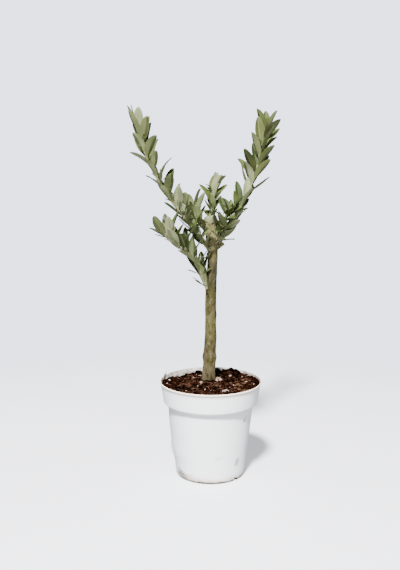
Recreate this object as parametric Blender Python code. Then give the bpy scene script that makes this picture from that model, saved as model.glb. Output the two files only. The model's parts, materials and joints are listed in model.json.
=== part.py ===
"""A young olive tree on a bare stem, growing in a white plastic nursery pot.

Sizes are in millimetres and become metres in the meshes. The origin is the centre of the
pot's flat underside, +Z is up, and the front of the plant looks along -Y.
"""

import math
import random

import bmesh
import bpy
from mathutils import Vector
from mathutils.bvhtree import BVHTree

MM = 0.001
UP = Vector((0.0, 0.0, 1.0))
FRONT = Vector((0.0, -1.0, 0.0))

# Clearance between neighbouring solids
GAP = 0.3

# Pot
POT_SIDES = 48
RIM_RADIUS = 75.0
POT_HEIGHT = 140.5
FOOT_RADIUS = 50.8
WALL = 1.3
FLOOR = 2.2
LIP_HEIGHT = 2.3
LIP_WIDTH = 1.8
BAND_TOP_RADIUS = 73.6
BAND_FOOT = 110.5
BAND_FOOT_RADIUS = 69.1
BODY_TOP = 104.0
BODY_TOP_RADIUS = 62.5
DRAIN_SLOTS = 3
DRAIN_TURN = 45.0
DRAIN_SIZE = (7.6, 9.0, 4.8)

# Soil
SOIL_LEVEL = 134.0
SOIL_PLATEAU = 136.5
SOIL_RINGS = 9
SOIL_EDGE_TOP = 138.2
# Each mound of the soil's top: x, y, height above the soil level, radius
MOUNDS = ((34, 54, 4.5, 22), (62, 22, 4.0, 26), (62, -12, 2.0, 20), (6, 60, 3.5, 16), (20, 10, 1.5, 10),
          (-44, -8, 1.5, 18), (-48, 50, -2.8, 28), (-70, 6, 4.2, 18), (71, 2, 3.0, 16))

# Trunk: x, y, z of its centre line, from the flat cut at the soil to the sealed cut on top
TRUNK_LINE = ((-3, 16, 136.8), (-1.7, 16, 171), (-0.3, 15, 200), (-0.3, 15, 235), (0, 14, 268),
              (1.8, 14, 303), (3, 14, 329), (1, 14, 351), (-1, 14, 378))
TRUNK_SIDES = 14
TRUNK_RING_STEP = 8.0
# Height above the soil, radius
TRUNK_TAPER = ((0, 10.5), (5, 9.5), (30, 9.0), (36, 9.6), (43, 9.1), (60, 8.7), (85, 8.1), (120, 8.0),
               (165, 7.5), (192, 6.8), (203, 7.8), (215, 8.2), (236, 8.2), (241.2, 7.4))
STUB_START = (5, 13, 333)
STUB_END = (18.5, 11, 342)
STUB_RADIUS = (3.4, 2.6)

# Shoots. The route is the centre line of the shoot's stem. "bare" is the length of the bough
# under the leaves, or 0 where the leaves begin at the trunk. Leaves stand in opposite pairs,
# each pair turned a quarter round from the last, between the lengths "first" and "last".
# "open" and "closed" are the leaves' angles to the stem at the foot and at the tip, "lift"
# turns them towards upright, and each seed draws one stretch of the shoot.
SHOOTS = {
    "left": {
        "route": ((-4, 12, 339), (-25, 3, 364), (-56, -12, 405), (-86, -28, 458), (-103, -41, 513)),
        "bare": 12, "stem": (2.1, 0.9), "first": 18, "last": 191, "pairs": 17, "phase": 30,
        "open": 41, "closed": 24, "lift": 0.7, "length": 38, "width": 0.33, "small": 0.8,
        "seeds": (741, 826, 871, 727, 589, 768, 507, 362),
    },
    "right": {
        "route": ((4, 15, 336), (16, 19, 346), (32, 26, 374), (56, 35, 416), (69, 42, 456), (80, 49, 500)),
        "bare": 12, "stem": (2.1, 0.9), "first": 19, "last": 190, "pairs": 17, "phase": 45,
        "open": 35, "closed": 32, "lift": 0.5, "length": 41, "width": 0.34, "small": 0.8,
        "seeds": (995, 550, 515, 805, 719, 240, 495, 854),
    },
    "low_left": {
        "route": ((-3, 12, 270), (-13, 3, 292), (-20, -5, 315), (-30, -12, 329),
                  (-49, -21, 341), (-68, -30, 360)),
        "bare": 0, "stem": (1.9, 0.9), "first": 7, "last": 116, "pairs": 14, "phase": 85,
        "open": 31, "closed": 27, "lift": 0.7, "length": 39, "width": 0.34, "small": 0.8,
        "seeds": (145, 919, 727, 775, 923, 128, 184),
    },
    "centre": {
        "route": ((1, 24, 366), (2, 30, 396), (6, 36, 430)),
        "bare": 0, "stem": (1.6, 0.9), "first": 8, "last": 52, "pairs": 8, "phase": 10,
        "open": 38, "closed": 16, "lift": 0.0, "length": 33, "width": 0.41, "small": 0.85,
        "seeds": (5, 88, 324, 683),
    },
    "inner_left": {
        "route": ((-4, 14, 354), (-13, 16, 365), (-26, 24, 389)),
        "bare": 0, "stem": (1.5, 0.9), "first": 8, "last": 46, "pairs": 9, "phase": 5,
        "open": 54, "closed": 34, "lift": 0.3, "length": 33, "width": 0.41, "small": 0.85,
        "seeds": (38, 758, 513, 935),
    },
    "inner_right": {
        "route": ((6, 12, 352), (13, 8, 364), (26, 2, 388)),
        "bare": 0, "stem": (1.5, 0.9), "first": 9, "last": 40, "pairs": 6, "phase": 15,
        "open": 51, "closed": 36, "lift": 0.5, "length": 31, "width": 0.43, "small": 0.85,
        "seeds": (575, 814, 635),
    },
    "fore_left": {
        "route": ((-4, 8, 334), (-14, -3, 347), (-30, -9, 369)),
        "bare": 0, "stem": (1.5, 0.9), "first": 10, "last": 37, "pairs": 6, "phase": 70,
        "open": 42, "closed": 31, "lift": 0.5, "length": 29, "width": 0.42, "small": 0.85,
        "seeds": (605, 411, 286),
    },
    "fore_right": {
        "route": ((7, 9, 343), (15, 3, 352), (27, -5, 372)),
        "bare": 0, "stem": (1.5, 0.9), "first": 6, "last": 32, "pairs": 8, "phase": 40,
        "open": 50, "closed": 38, "lift": 0.6, "length": 32, "width": 0.38, "small": 0.85,
        "seeds": (750, 785, 645),
    },
}

# Leaf
LEAF_THICKNESS = 0.8
TIP_ROOM = 2.0
PETIOLE_HALF_WIDTH = 0.65
BLADE_STATIONS = (0.13, 0.42, 0.76)
BEND_STEPS = 28
# Turns in degrees that a leaf may take to keep clear of a neighbour: round its stem, away from its stem
NUDGES = ((0, 0), (9, 0), (-9, 0), (0, 7), (0, -7), (14, -8), (-14, -8), (0, 14),
          (18, 6), (-18, 6), (26, 0), (-26, 0))


class Route:
    """A smooth curve through a few points, read by the length along it."""

    STEPS = 10

    def __init__(self, points):
        marks = [Vector(point) for point in points]
        marks = [2 * marks[0] - marks[1]] + marks + [2 * marks[-1] - marks[-2]]
        self.points = []
        for p0, p1, p2, p3 in zip(marks, marks[1:], marks[2:], marks[3:]):
            for step in range(self.STEPS):
                u = step / self.STEPS
                self.points.append(0.5 * (2 * p1 + (p2 - p0) * u + (2 * p0 - 5 * p1 + 4 * p2 - p3) * u * u
                                          + (3 * p1 - p0 - 3 * p2 + p3) * u ** 3))
        self.points.append(marks[-2])
        self.marks = [0.0]
        for a, b in zip(self.points, self.points[1:]):
            self.marks.append(self.marks[-1] + (b - a).length)
        self.length = self.marks[-1]

    def at(self, distance):
        distance = min(max(distance, 0.0), self.length)
        for k in range(1, len(self.marks)):
            if distance <= self.marks[k]:
                share = (distance - self.marks[k - 1]) / (self.marks[k] - self.marks[k - 1])
                return self.points[k - 1].lerp(self.points[k], share)
        return self.points[-1].copy()

    def direction(self, distance, reach=2.0):
        ahead = self.at(min(distance + reach, self.length))
        return (ahead - self.at(max(distance - reach, 0.0))).normalized()


def read_table(table, x):
    """Straight-line reading of a table of (x, value) pairs."""
    for (x0, v0), (x1, v1) in zip(table, table[1:]):
        if x <= x1:
            return v0 + (v1 - v0) * max(0.0, x - x0) / (x1 - x0)
    return table[-1][1]


def plain(name, colour, roughness):
    material = bpy.data.materials.new(name)
    material.use_nodes = True
    shader = material.node_tree.nodes["Principled BSDF"]
    shader.inputs["Base Color"].default_value = (*colour, 1.0)
    shader.inputs["Roughness"].default_value = roughness
    shader.inputs["Metallic"].default_value = 0.0
    return material


def skin(rings):
    """A closed mesh over rings of points in mm. A ring of one point closes that end."""
    mesh = bmesh.new()
    rows = [[mesh.verts.new(point * MM) for point in ring] for ring in rings]
    for low, high in zip(rows, rows[1:]):
        count = max(len(low), len(high))
        for k in range(count):
            after = (k + 1) % count
            if len(low) == 1:
                mesh.faces.new((low[0], high[after], high[k]))
            elif len(high) == 1:
                mesh.faces.new((low[k], low[after], high[0]))
            else:
                mesh.faces.new((low[k], low[after], high[after], high[k]))
    if len(rows[0]) > 1:
        mesh.faces.new(tuple(reversed(rows[0])))
    if len(rows[-1]) > 1:
        mesh.faces.new(tuple(rows[-1]))
    bmesh.ops.triangulate(mesh, faces=mesh.faces[:])
    bmesh.ops.recalc_face_normals(mesh, faces=mesh.faces[:])
    return mesh


def add_object(name, mesh, material, smooth_angle=None):
    data = bpy.data.meshes.new(name)
    mesh.to_mesh(data)
    mesh.free()
    data.materials.append(material)
    if smooth_angle:
        data.shade_smooth()
        data.set_sharp_from_angle(angle=math.radians(smooth_angle))
    result = bpy.data.objects.new(name, data)
    bpy.context.scene.collection.objects.link(result)
    return result


def fuse(target, others, operation):
    """Joins the others to the target, or cuts them from it, and removes them."""
    group = bpy.data.collections.new(target.name + "_operands")
    bpy.context.scene.collection.children.link(group)
    for other in others:
        bpy.context.scene.collection.objects.unlink(other)
        group.objects.link(other)
    modifier = target.modifiers.new(operation.lower(), "BOOLEAN")
    modifier.operation = operation
    modifier.operand_type = "COLLECTION"
    modifier.collection = group
    modifier.solver = "EXACT"
    bpy.context.view_layer.update()
    result = bpy.data.meshes.new_from_object(target.evaluated_get(bpy.context.evaluated_depsgraph_get()))
    target.modifiers.clear()
    target.data = result
    for other in others:
        bpy.data.objects.remove(other)
    bpy.data.collections.remove(group)


def keep_main_shell(target):
    """Drops loose scrap and fills any hollow that fusing has sealed."""
    mesh = bmesh.new()
    mesh.from_mesh(target.data)
    bmesh.ops.dissolve_degenerate(mesh, dist=0.002 * MM, edges=mesh.edges[:])
    bmesh.ops.triangulate(mesh, faces=mesh.faces[:])
    left = set(mesh.faces)
    shells = []
    while left:
        shell = [left.pop()]
        for face in shell:
            for edge in face.edges:
                if len(edge.link_faces) != 2:
                    continue
                for other in edge.link_faces:
                    if other in left:
                        left.remove(other)
                        shell.append(other)
        shells.append(shell)
    shells.sort(key=len)
    for shell in shells[:-1]:
        bmesh.ops.delete(mesh, geom=shell, context="FACES")
    mesh.to_mesh(target.data)
    mesh.free()


def place(target, foot, parent):
    """Moves the object's origin to its foot without moving its surface."""
    for vert in target.data.vertices:
        vert.co -= foot * MM
    target.location = foot * MM
    target.parent = parent


def circle(radius, z, count):
    steps = (2 * math.pi * k / count for k in range(count))
    return [Vector((radius * math.cos(a), radius * math.sin(a), z)) for a in steps]


def pot_inner_profile():
    """Radius and height of the pot's inner wall, from its floor to its mouth."""
    return (
        (FOOT_RADIUS - WALL, FLOOR),
        (BODY_TOP_RADIUS - WALL, BODY_TOP + 0.7),
        (BAND_FOOT_RADIUS - WALL, BAND_FOOT + 0.7),
        (RIM_RADIUS - LIP_WIDTH - 0.4, POT_HEIGHT - 2.0),
        (RIM_RADIUS - LIP_WIDTH, POT_HEIGHT - 0.3),
    )


def make_pot(material):
    lip_foot = POT_HEIGHT - LIP_HEIGHT
    outer = (
        (FOOT_RADIUS - 0.8, 0.0),
        (FOOT_RADIUS, 0.8),
        (BODY_TOP_RADIUS, BODY_TOP),
        (BAND_FOOT_RADIUS - 0.5, BAND_FOOT - 0.5),
        (BAND_FOOT_RADIUS, BAND_FOOT + 0.3),
        (BAND_TOP_RADIUS, lip_foot - 1.0),
        (RIM_RADIUS - 0.5, lip_foot),
        (RIM_RADIUS, lip_foot + 0.6),
        (RIM_RADIUS, POT_HEIGHT - 0.6),
        (RIM_RADIUS - 0.7, POT_HEIGHT),
        (RIM_RADIUS - LIP_WIDTH + 0.4, POT_HEIGHT),
    )
    profile = outer + tuple(reversed(pot_inner_profile()))
    pot = add_object("pot", skin([circle(r, z, POT_SIDES) for r, z in profile]), material, 35)
    slots = []
    width, depth, height = DRAIN_SIZE
    for k in range(DRAIN_SLOTS):
        turn = math.radians(DRAIN_TURN + 360 * k / DRAIN_SLOTS)
        outward = Vector((math.sin(turn), -math.cos(turn), 0.0))
        along = Vector((outward.y, -outward.x, 0.0))
        middle = outward * FOOT_RADIUS
        rings = []
        for z, shrink in ((-1.0, 1.0), (height * 0.6, 1.0), (height, 0.6)):
            half = 0.5 * width * shrink
            corners = ((-depth * 0.6, -half), (depth * 0.4, -half), (depth * 0.4, half), (-depth * 0.6, half))
            rings.append([middle + outward * a + along * b + UP * z for a, b in corners])
        slots.append(add_object("drain_slot", skin(rings), material))
    fuse(pot, slots, "DIFFERENCE")
    return pot


def soil_height(x, y):
    """Lumpy top of the potting soil, with a flat place under the trunk."""
    foot = Vector(TRUNK_LINE[0])
    height = SOIL_LEVEL
    for mx, my, rise, reach in MOUNDS:
        height += rise * math.exp(-((x - mx) ** 2 + (y - my) ** 2) / (2 * (0.55 * reach) ** 2))
    height += 0.7 * math.sin(0.21 * x + 1.3) * math.cos(0.17 * y) + 0.5 * math.sin(0.43 * y - 0.31 * x)
    away = math.hypot(x - foot.x, y - foot.y)
    share = min(1.0, max(0.0, (away - 13.0) / 22.0))
    share = share * share * (3 - 2 * share)
    return SOIL_PLATEAU + (height - SOIL_PLATEAU) * share


def soil_edge():
    """Where the top of the soil meets the pot's wall, higher in some places than in others."""
    wall = [(z, r) for r, z in pot_inner_profile()]
    level = read_table(wall, SOIL_LEVEL)
    ring = []
    for point in circle(level, 0.0, POT_SIDES):
        height = min(SOIL_EDGE_TOP, soil_height(point.x, point.y))
        share = (read_table(wall, height) - GAP) / level
        ring.append(Vector((point.x * share, point.y * share, height)))
    return ring


def make_soil(material):
    """The filling of the pot. Its top rings gather on the trunk's foot."""
    rings = []
    wall = [(r - GAP, z) for r, z in pot_inner_profile() if z < BAND_FOOT + 1]
    wall[0] = (wall[0][0] - 0.2, wall[0][1] + GAP)
    for radius, z in wall:
        rings.append(circle(radius, z, POT_SIDES))
    rim = soil_edge()
    rings.append(rim)
    foot = Vector(TRUNK_LINE[0])
    for k in range(1, SOIL_RINGS + 1):
        share = 1.0 - k / (SOIL_RINGS + 1)
        ring = []
        for point in rim:
            x = foot.x + (point.x - foot.x) * share
            y = foot.y + (point.y - foot.y) * share
            ring.append(Vector((x, y, soil_height(x, y))))
        rings.append(ring)
    return add_object("soil", skin(rings), material, 60)


def tube_rings(centres, radii, sides, swell=None):
    """Rings round a centre line, carried along it without twisting."""
    rings = []
    across = None
    for k, centre in enumerate(centres):
        ahead = centres[min(k + 1, len(centres) - 1)] - centres[max(k - 1, 0)]
        ahead.normalize()
        start = across if across else FRONT
        across = (start - start.dot(ahead) * ahead).normalized()
        beside = ahead.cross(across)
        ring = []
        for j in range(sides):
            angle = 2 * math.pi * j / sides
            radius = radii[k] * (swell(k, angle) if swell else 1.0)
            ring.append(centre + radius * (math.cos(angle) * across + math.sin(angle) * beside))
        rings.append(ring)
    return rings


def trunk_rings(grow=0.0):
    route = Route(TRUNK_LINE)
    count = round(route.length / TRUNK_RING_STEP)
    heights = [route.length * k / count for k in range(count + 1)]
    centres = [route.at(h) for h in heights]
    radii = [read_table(TRUNK_TAPER, h) + grow for h in heights]

    def swell(k, angle):
        """Two root lobes at the foot, and low knobs all the way up to the knotty head."""
        h = heights[k]
        lobes = 0.10 * math.exp(-h / 5.0) * math.cos(2 * angle + math.pi)
        head = 0.05 * min(1.0, max(0.0, (h - 195) / 15))
        knobs = (0.025 + head) * math.sin(3 * angle + 0.09 * h) * math.sin(0.19 * h + 2 * angle)
        return 1.0 + lobes + knobs

    rings = tube_rings(centres, radii, TRUNK_SIDES, swell)
    for ring, height in ((rings[0], centres[0].z), (rings[-1], centres[-1].z)):
        for point in ring:
            point.z = height
    return rings


def stub_rings(grow=0.0):
    start = Vector(STUB_START)
    end = Vector(STUB_END)
    extra = (end - start).normalized() * grow
    return tube_rings([start, end + extra], [r + grow for r in STUB_RADIUS], 8)


def make_trunk(name, material, grow=0.0):
    """The trunk with the stub of a pruned shoot. A grown copy cuts what meets it clear."""
    trunk = add_object(name, skin(trunk_rings(grow)), material, 50)
    fuse(trunk, [add_object("stub", skin(stub_rings(grow)), material)], "UNION")
    return trunk


def heel_of(shoot):
    """The point on the trunk's centre line that the shoot springs from."""
    start = Vector(shoot["route"][0])
    route = Route(TRUNK_LINE)
    return min(route.points, key=lambda point: abs(point.z - (start.z - 3.0)))


def stem_radius(shoot, share):
    thick, thin = shoot["stem"]
    return thick + (thin - thick) * share ** 0.8


def stem_rings(shoot, start, end, sides, step, grow=0.0):
    """A stretch of the shoot's stem, reaching back into the trunk where it starts at 0.

    Its cut ends stand square to the route, so that bough and stem face each other evenly.
    """
    route = Route(shoot["route"])
    count = max(1, math.ceil((end - start) / step))
    places = [start + (end - start) * k / count for k in range(count + 1)]
    if start > 0:
        places.insert(1, start + 1.0)
    if end < route.length:
        places.insert(-1, end - 1.0)
    centres = [route.at(place) for place in places]
    radii = [stem_radius(shoot, place / route.length) + grow for place in places]
    if start == 0:
        centres.insert(0, heel_of(shoot))
        radii.insert(0, radii[0] * 1.15)
    return tube_rings(centres, radii, sides)


def half_width(u):
    """Half the width of an olive leaf along its length, as a share of the widest place."""
    return math.sin(math.pi * u ** 1.12) ** (0.85 - 0.3 * u) if 0.0 < u < 1.0 else 0.0


def shoot_leaves(shoot):
    """The seeded rule: where each leaf of the shoot starts, and how it stands."""
    route = Route(shoot["route"])
    pairs = shoot["pairs"]
    seeds = shoot["seeds"]
    stretch = None
    leaves = []
    for i in range(pairs):
        if i * len(seeds) // pairs != stretch:
            stretch = i * len(seeds) // pairs
            draw = random.Random(seeds[stretch]).uniform
        share = i / (pairs - 1)
        place = shoot["first"] + (shoot["last"] - shoot["first"]) * share * (1.25 - 0.25 * share)
        place = min(place + draw(-2.0, 2.0), route.length - TIP_ROOM)
        aim = ((1 - shoot["lift"]) * route.direction(place) + shoot["lift"] * UP).normalized()
        front = (FRONT - FRONT.dot(aim) * aim).normalized()
        side = aim.cross(front)
        turn = shoot["phase"] + 90 * i + draw(-18, 18)
        opening = shoot["open"] + (shoot["closed"] - shoot["open"]) * share
        size = min(1.0, shoot["small"] + (1 - shoot["small"]) * 2.5 * share)
        for half in (0, 180):
            azimuth = math.radians(turn + half + draw(-12, 12))
            out = math.cos(azimuth) * front + math.sin(azimuth) * side
            spread = math.radians(opening + draw(-13, 13))
            bend = math.radians(draw(-16, 24))
            roll = math.radians(draw(-30, 30))
            length = shoot["length"] * size * draw(0.84, 1.16)
            width = shoot["width"] * length * draw(0.88, 1.12)
            leaves.append({"base": route.at(place), "aim": aim, "out": out, "spread": spread,
                           "bend": bend, "roll": roll, "length": length, "width": width})
    return leaves


def leaf_frame(leaf, u):
    """Point on the midrib, direction across the blade and direction out of its upper face."""
    aim = leaf["aim"]
    out = leaf["out"]
    steps = max(1, round(u * BEND_STEPS))
    point = leaf["base"].copy()
    for k in range(steps):
        angle = leaf["spread"] + leaf["bend"] * u * (k + 0.5) / steps
        point += (math.cos(angle) * aim + math.sin(angle) * out) * leaf["length"] * u / steps
    angle = leaf["spread"] + leaf["bend"] * u
    upper = math.sin(angle) * aim - math.cos(angle) * out
    beside = aim.cross(out)
    roll = leaf["roll"]
    across = math.cos(roll) * beside + math.sin(roll) * upper
    return point, across, math.cos(roll) * upper - math.sin(roll) * beside


def leaf_rings(leaf, grow=0.0):
    """The blade as four-sided rings, from a point inside the stem to a point at the tip."""
    rings = [[leaf_frame(leaf, 0.0)[0]]]
    for u in BLADE_STATIONS:
        point, across, upper = leaf_frame(leaf, u)
        half = max(PETIOLE_HALF_WIDTH, 0.5 * leaf["width"] * half_width(u)) + grow
        thick = 0.5 * LEAF_THICKNESS * (1.0 if u < 0.7 else 0.8) + grow
        rings.append([point + across * half, point + upper * thick,
                      point - across * half, point - upper * thick])
    rings.append([leaf_frame(leaf, 1.0 + grow / leaf["length"])[0]])
    return rings


def turned(leaf, nudge):
    """The leaf turned round its stem and away from it."""
    around, away = (math.radians(value) for value in nudge)
    out = math.cos(around) * leaf["out"] + math.sin(around) * leaf["aim"].cross(leaf["out"])
    return {**leaf, "out": out, "spread": leaf["spread"] + away}


def tree_of(mesh):
    tree = BVHTree.FromBMesh(mesh)
    mesh.free()
    return tree


def clear_leaf(leaf, others):
    """The leaf in the first of its places that keeps clear of the others, or None."""
    for nudge in NUDGES:
        tried = turned(leaf, nudge)
        room = tree_of(skin(leaf_rings(tried, GAP + 0.1)))
        if not any(room.overlap(other) for other in others):
            return tried
    return None


def main():
    for old in list(bpy.data.objects):
        bpy.data.objects.remove(old)
    plastic = plain("white_plastic", (0.80, 0.81, 0.82), 0.45)
    earth = plain("potting_soil", (0.055, 0.026, 0.014), 0.95)
    bark = plain("bark", (0.24, 0.19, 0.085), 0.85)
    green_stem = plain("young_stem", (0.27, 0.27, 0.14), 0.7)
    leaf_green = plain("leaf_green", (0.16, 0.20, 0.075), 0.55)

    plant = bpy.data.objects.new("olive_sapling_in_pot", None)
    bpy.context.scene.collection.objects.link(plant)
    make_pot(plastic).parent = plant
    make_soil(earth).parent = plant
    trunk = make_trunk("trunk", bark)
    place(trunk, Vector(TRUNK_LINE[0]), plant)

    trunk_tree = tree_of(skin(trunk_rings()))
    stub_tree = tree_of(skin(stub_rings()))
    stems = {}
    for name, shoot in SHOOTS.items():
        length = Route(shoot["route"]).length
        stems[name] = tree_of(skin(stem_rings(shoot, 0, length, 6, 8.0)))
    placed = []
    skipped = 0
    for name, shoot in SHOOTS.items():
        route = Route(shoot["route"])
        bare = shoot["bare"]
        if bare:
            bough = add_object(name + "_bough", skin(stem_rings(shoot, 0, bare, 8, 6.0)), green_stem, 50)
            fuse(bough, [make_trunk("trunk_cutter", bark, GAP)], "DIFFERENCE")
            keep_main_shell(bough)
            place(bough, Vector(shoot["route"][0]), plant)
        start = bare + GAP if bare else 0
        stem = skin(stem_rings(shoot, start, route.length, 5, 12.0))
        stem = add_object(name + "_foliage", stem, leaf_green)
        if not bare:
            fuse(stem, [make_trunk("trunk_cutter", bark, GAP)], "DIFFERENCE")
        blades = []
        others = [trunk_tree, stub_tree] + [tree for key, tree in stems.items() if key != name]
        others += [tree for key, tree in placed if key != name]
        for grown in shoot_leaves(shoot):
            leaf = clear_leaf(grown, others)
            if leaf is None:
                skipped += 1
                continue
            placed.append((name, tree_of(skin(leaf_rings(leaf)))))
            blades.append(add_object("blade", skin(leaf_rings(leaf)), leaf_green))
        fuse(stem, blades, "UNION")
        keep_main_shell(stem)
        place(stem, route.at(start), plant)
        print(name, len(blades), "leaves,", len(stem.data.polygons), "faces")
    print("skipped", skipped)


main()
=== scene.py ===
"""Looks of a potted olive sapling: bark, leaves, soil and a white nursery pot.

Lengths on the plant and the pot are in millimetres and become metres in the meshes. The camera, the lights
and the ranges in the materials are in metres. The front looks along -Y.
"""

import json
import math
import random

import bmesh
import bpy
from mathutils import Matrix, Vector, noise
from mathutils.bvhtree import BVHTree

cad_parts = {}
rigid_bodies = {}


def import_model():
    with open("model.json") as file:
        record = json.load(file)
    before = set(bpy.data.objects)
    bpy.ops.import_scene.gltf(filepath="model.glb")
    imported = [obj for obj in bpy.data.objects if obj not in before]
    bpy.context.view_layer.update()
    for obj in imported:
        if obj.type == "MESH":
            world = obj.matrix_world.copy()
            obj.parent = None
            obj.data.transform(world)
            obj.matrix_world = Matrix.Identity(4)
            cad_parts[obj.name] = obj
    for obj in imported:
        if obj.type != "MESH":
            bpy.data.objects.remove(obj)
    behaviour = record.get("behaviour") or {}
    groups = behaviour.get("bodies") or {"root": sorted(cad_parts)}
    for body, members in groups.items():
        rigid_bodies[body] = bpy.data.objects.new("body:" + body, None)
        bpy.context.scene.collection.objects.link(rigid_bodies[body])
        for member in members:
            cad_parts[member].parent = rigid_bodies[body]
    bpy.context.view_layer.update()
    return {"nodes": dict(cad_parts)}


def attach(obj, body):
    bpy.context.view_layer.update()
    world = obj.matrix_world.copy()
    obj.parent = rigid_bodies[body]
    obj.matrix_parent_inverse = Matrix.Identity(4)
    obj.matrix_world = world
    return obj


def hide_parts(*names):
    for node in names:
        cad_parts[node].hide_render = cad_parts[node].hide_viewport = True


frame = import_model()

MM = 0.001
UP = Vector((0.0, 0.0, 1.0))
FRONT = Vector((0.0, -1.0, 0.0))

# Camera
CAMERA_PLACE = (0.0, -1.140, 0.472)
CAMERA_PITCH = 9.43
CAMERA_TURN = 0.785
LENS = 50.53
SENSOR = 36.0

# Pot
POT_SIDES = 160
RIM_RADIUS = 75.0
POT_HEIGHT = 140.5
FOOT_RADIUS = 50.8
WALL = 1.3
BASE = 2.2
BASE_HUB = 6.0
LIP_HEIGHT = 2.3
LIP_WIDTH = 1.8
BAND_TOP_RADIUS = 73.6
BAND_FOOT = 110.5
BAND_FOOT_RADIUS = 69.1
BODY_TOP = 104.0
BODY_TOP_RADIUS = 62.5
DRAIN_SLOTS = 3
DRAIN_TURN = 45.0
DRAIN_SIZE = (7.6, 9.0, 4.8)
POT_SHARP = 40
# Kinds of the pot's surface, in the order of its materials
BODY, LIP, INSIDE, UNDER = range(4)

# Soil
SOIL_LEVEL = 134.0
SOIL_PLATEAU = 136.5
SOIL_EDGE_TOP = 138.2
SOIL_SIDES = 180
SOIL_RINGS = 84
# Each mound of the soil's top: x, y, height above the soil level, radius
MOUNDS = ((34, 54, 4.5, 22), (62, 22, 4.0, 26), (62, -12, 2.0, 20), (6, 60, 3.5, 16), (20, 10, 1.5, 10),
          (-44, -8, 1.5, 18), (-48, 50, -2.8, 28), (-70, 6, 4.2, 18), (71, 2, 3.0, 16))

# Trunk
TRUNK_LINE = ((-3, 16, 136.8), (-1.7, 16, 171), (-0.3, 15, 200), (-0.3, 15, 235), (0, 14, 268),
              (1.8, 14, 303), (3, 14, 329), (1, 14, 351), (-1, 14, 378))
TRUNK_TAPER = ((0, 10.5), (5, 9.5), (30, 9.0), (36, 9.6), (43, 9.1), (60, 8.7), (85, 8.1), (120, 8.0),
               (165, 7.5), (192, 6.8), (203, 7.8), (215, 8.2), (236, 8.2), (241.2, 7.4))
TRUNK_SIDES = 96
TRUNK_RING_STEP = 0.7
# Heights against the soil's top: of two rings that carry the trunk into it, of the place where the knotty
# head starts, and over how far the head grows
UNDER_SOIL = (-3.5, -1.8)
HEAD_START = 192
HEAD_GROWTH = 14
STUB_START = (5, 13, 333)
STUB_END = (18.5, 11, 342)
STUB_RADIUS = (3.4, 2.6)
STUB_STEPS = 24
STUB_SIDES = 28
STALK_START = (19.5, 12, 346.5)
STALK_END = (34, 11, 347.8)
STALK_STEPS = 16
STALK_SIDES = 8
STALK_DARK_FROM = 13

# Marks of the bark: height above the soil, angle from the front towards +X, height and width of the
# mark, how far it stands out in mm, and how much paler it is
TRUNK_MARKS = (
    (8, -12, 3.0, 2.2, -1.3, -0.55), (4, -58, 6, 4.0, 0.8, 0.15), (3, 30, 4, 6.0, 0.3, -0.35),
    (34, 85, 6, 5.0, 1.1, 0.10), (34, -85, 6, 5.0, 1.0, 0.05), (64, -12, 4, 4.0, 0.7, -0.12),
    (57, -10, 3, 3.0, 0.3, 0.30), (66, 85, 5, 4.0, 0.7, 0.05), (100, 80, 5, 4.0, 0.9, 0.0),
    (111, -27, 2.5, 1.3, -0.4, -0.5), (88, 20, 2.0, 1.0, 0.25, 0.3), (76, 45, 1.5, 0.9, 0.2, 0.25),
    (124, 10, 1.6, 0.9, 0.25, 0.3), (137, -60, 5, 4.5, 0.9, -0.30), (131, -50, 2.0, 3.0, -0.5, -0.55),
    (150, 30, 2.0, 1.1, 0.3, 0.25), (163, 5, 3.0, 1.4, -0.3, -0.25), (174, 60, 3.5, 1.6, -0.4, -0.45),
    (180, 52, 2.0, 1.6, 0.4, 0.30), (194, -45, 4.0, 3.0, -1.2, -0.55), (199, -75, 6, 5.0, 1.2, 0.0),
    (203, 70, 5, 4.0, 1.5, -0.20), (212, 85, 6, 5.0, 1.1, 0.10), (214, 15, 4, 3.5, 0.5, 0.25),
    (221, -20, 3.0, 3.0, 0.6, 0.28), (224, 55, 3.5, 2.4, -1.0, -0.50), (232, 25, 3.0, 3.0, -1.3, -0.60),
    (231, -12, 2.4, 1.6, -0.7, -0.55), (236, 60, 3, 4, 0.7, 0.0), (30, 140, 4, 3, 0.8, 0.1),
    (70, 165, 3, 3, 0.7, -0.1), (108, 200, 4, 3, 0.8, 0.1), (150, 150, 3, 2, -0.5, -0.4),
    (196, 170, 5, 5, 1.2, 0.1), (222, 200, 4, 4, 0.9, -0.3),
)
# Sealing paste on the cut head: radius and height against the cut. The first rings lie on the side.
CAP_SIDES = 72
CAP_PROFILE = ((7.9, -6.0), (8.7, -5.2), (9.0, -3.0), (9.1, -1.0), (8.9, 0.8), (8.2, 2.2), (6.6, 3.1),
               (4.4, 3.4), (2.0, 3.5))
CAP_SIDE_RINGS = 3

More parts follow.
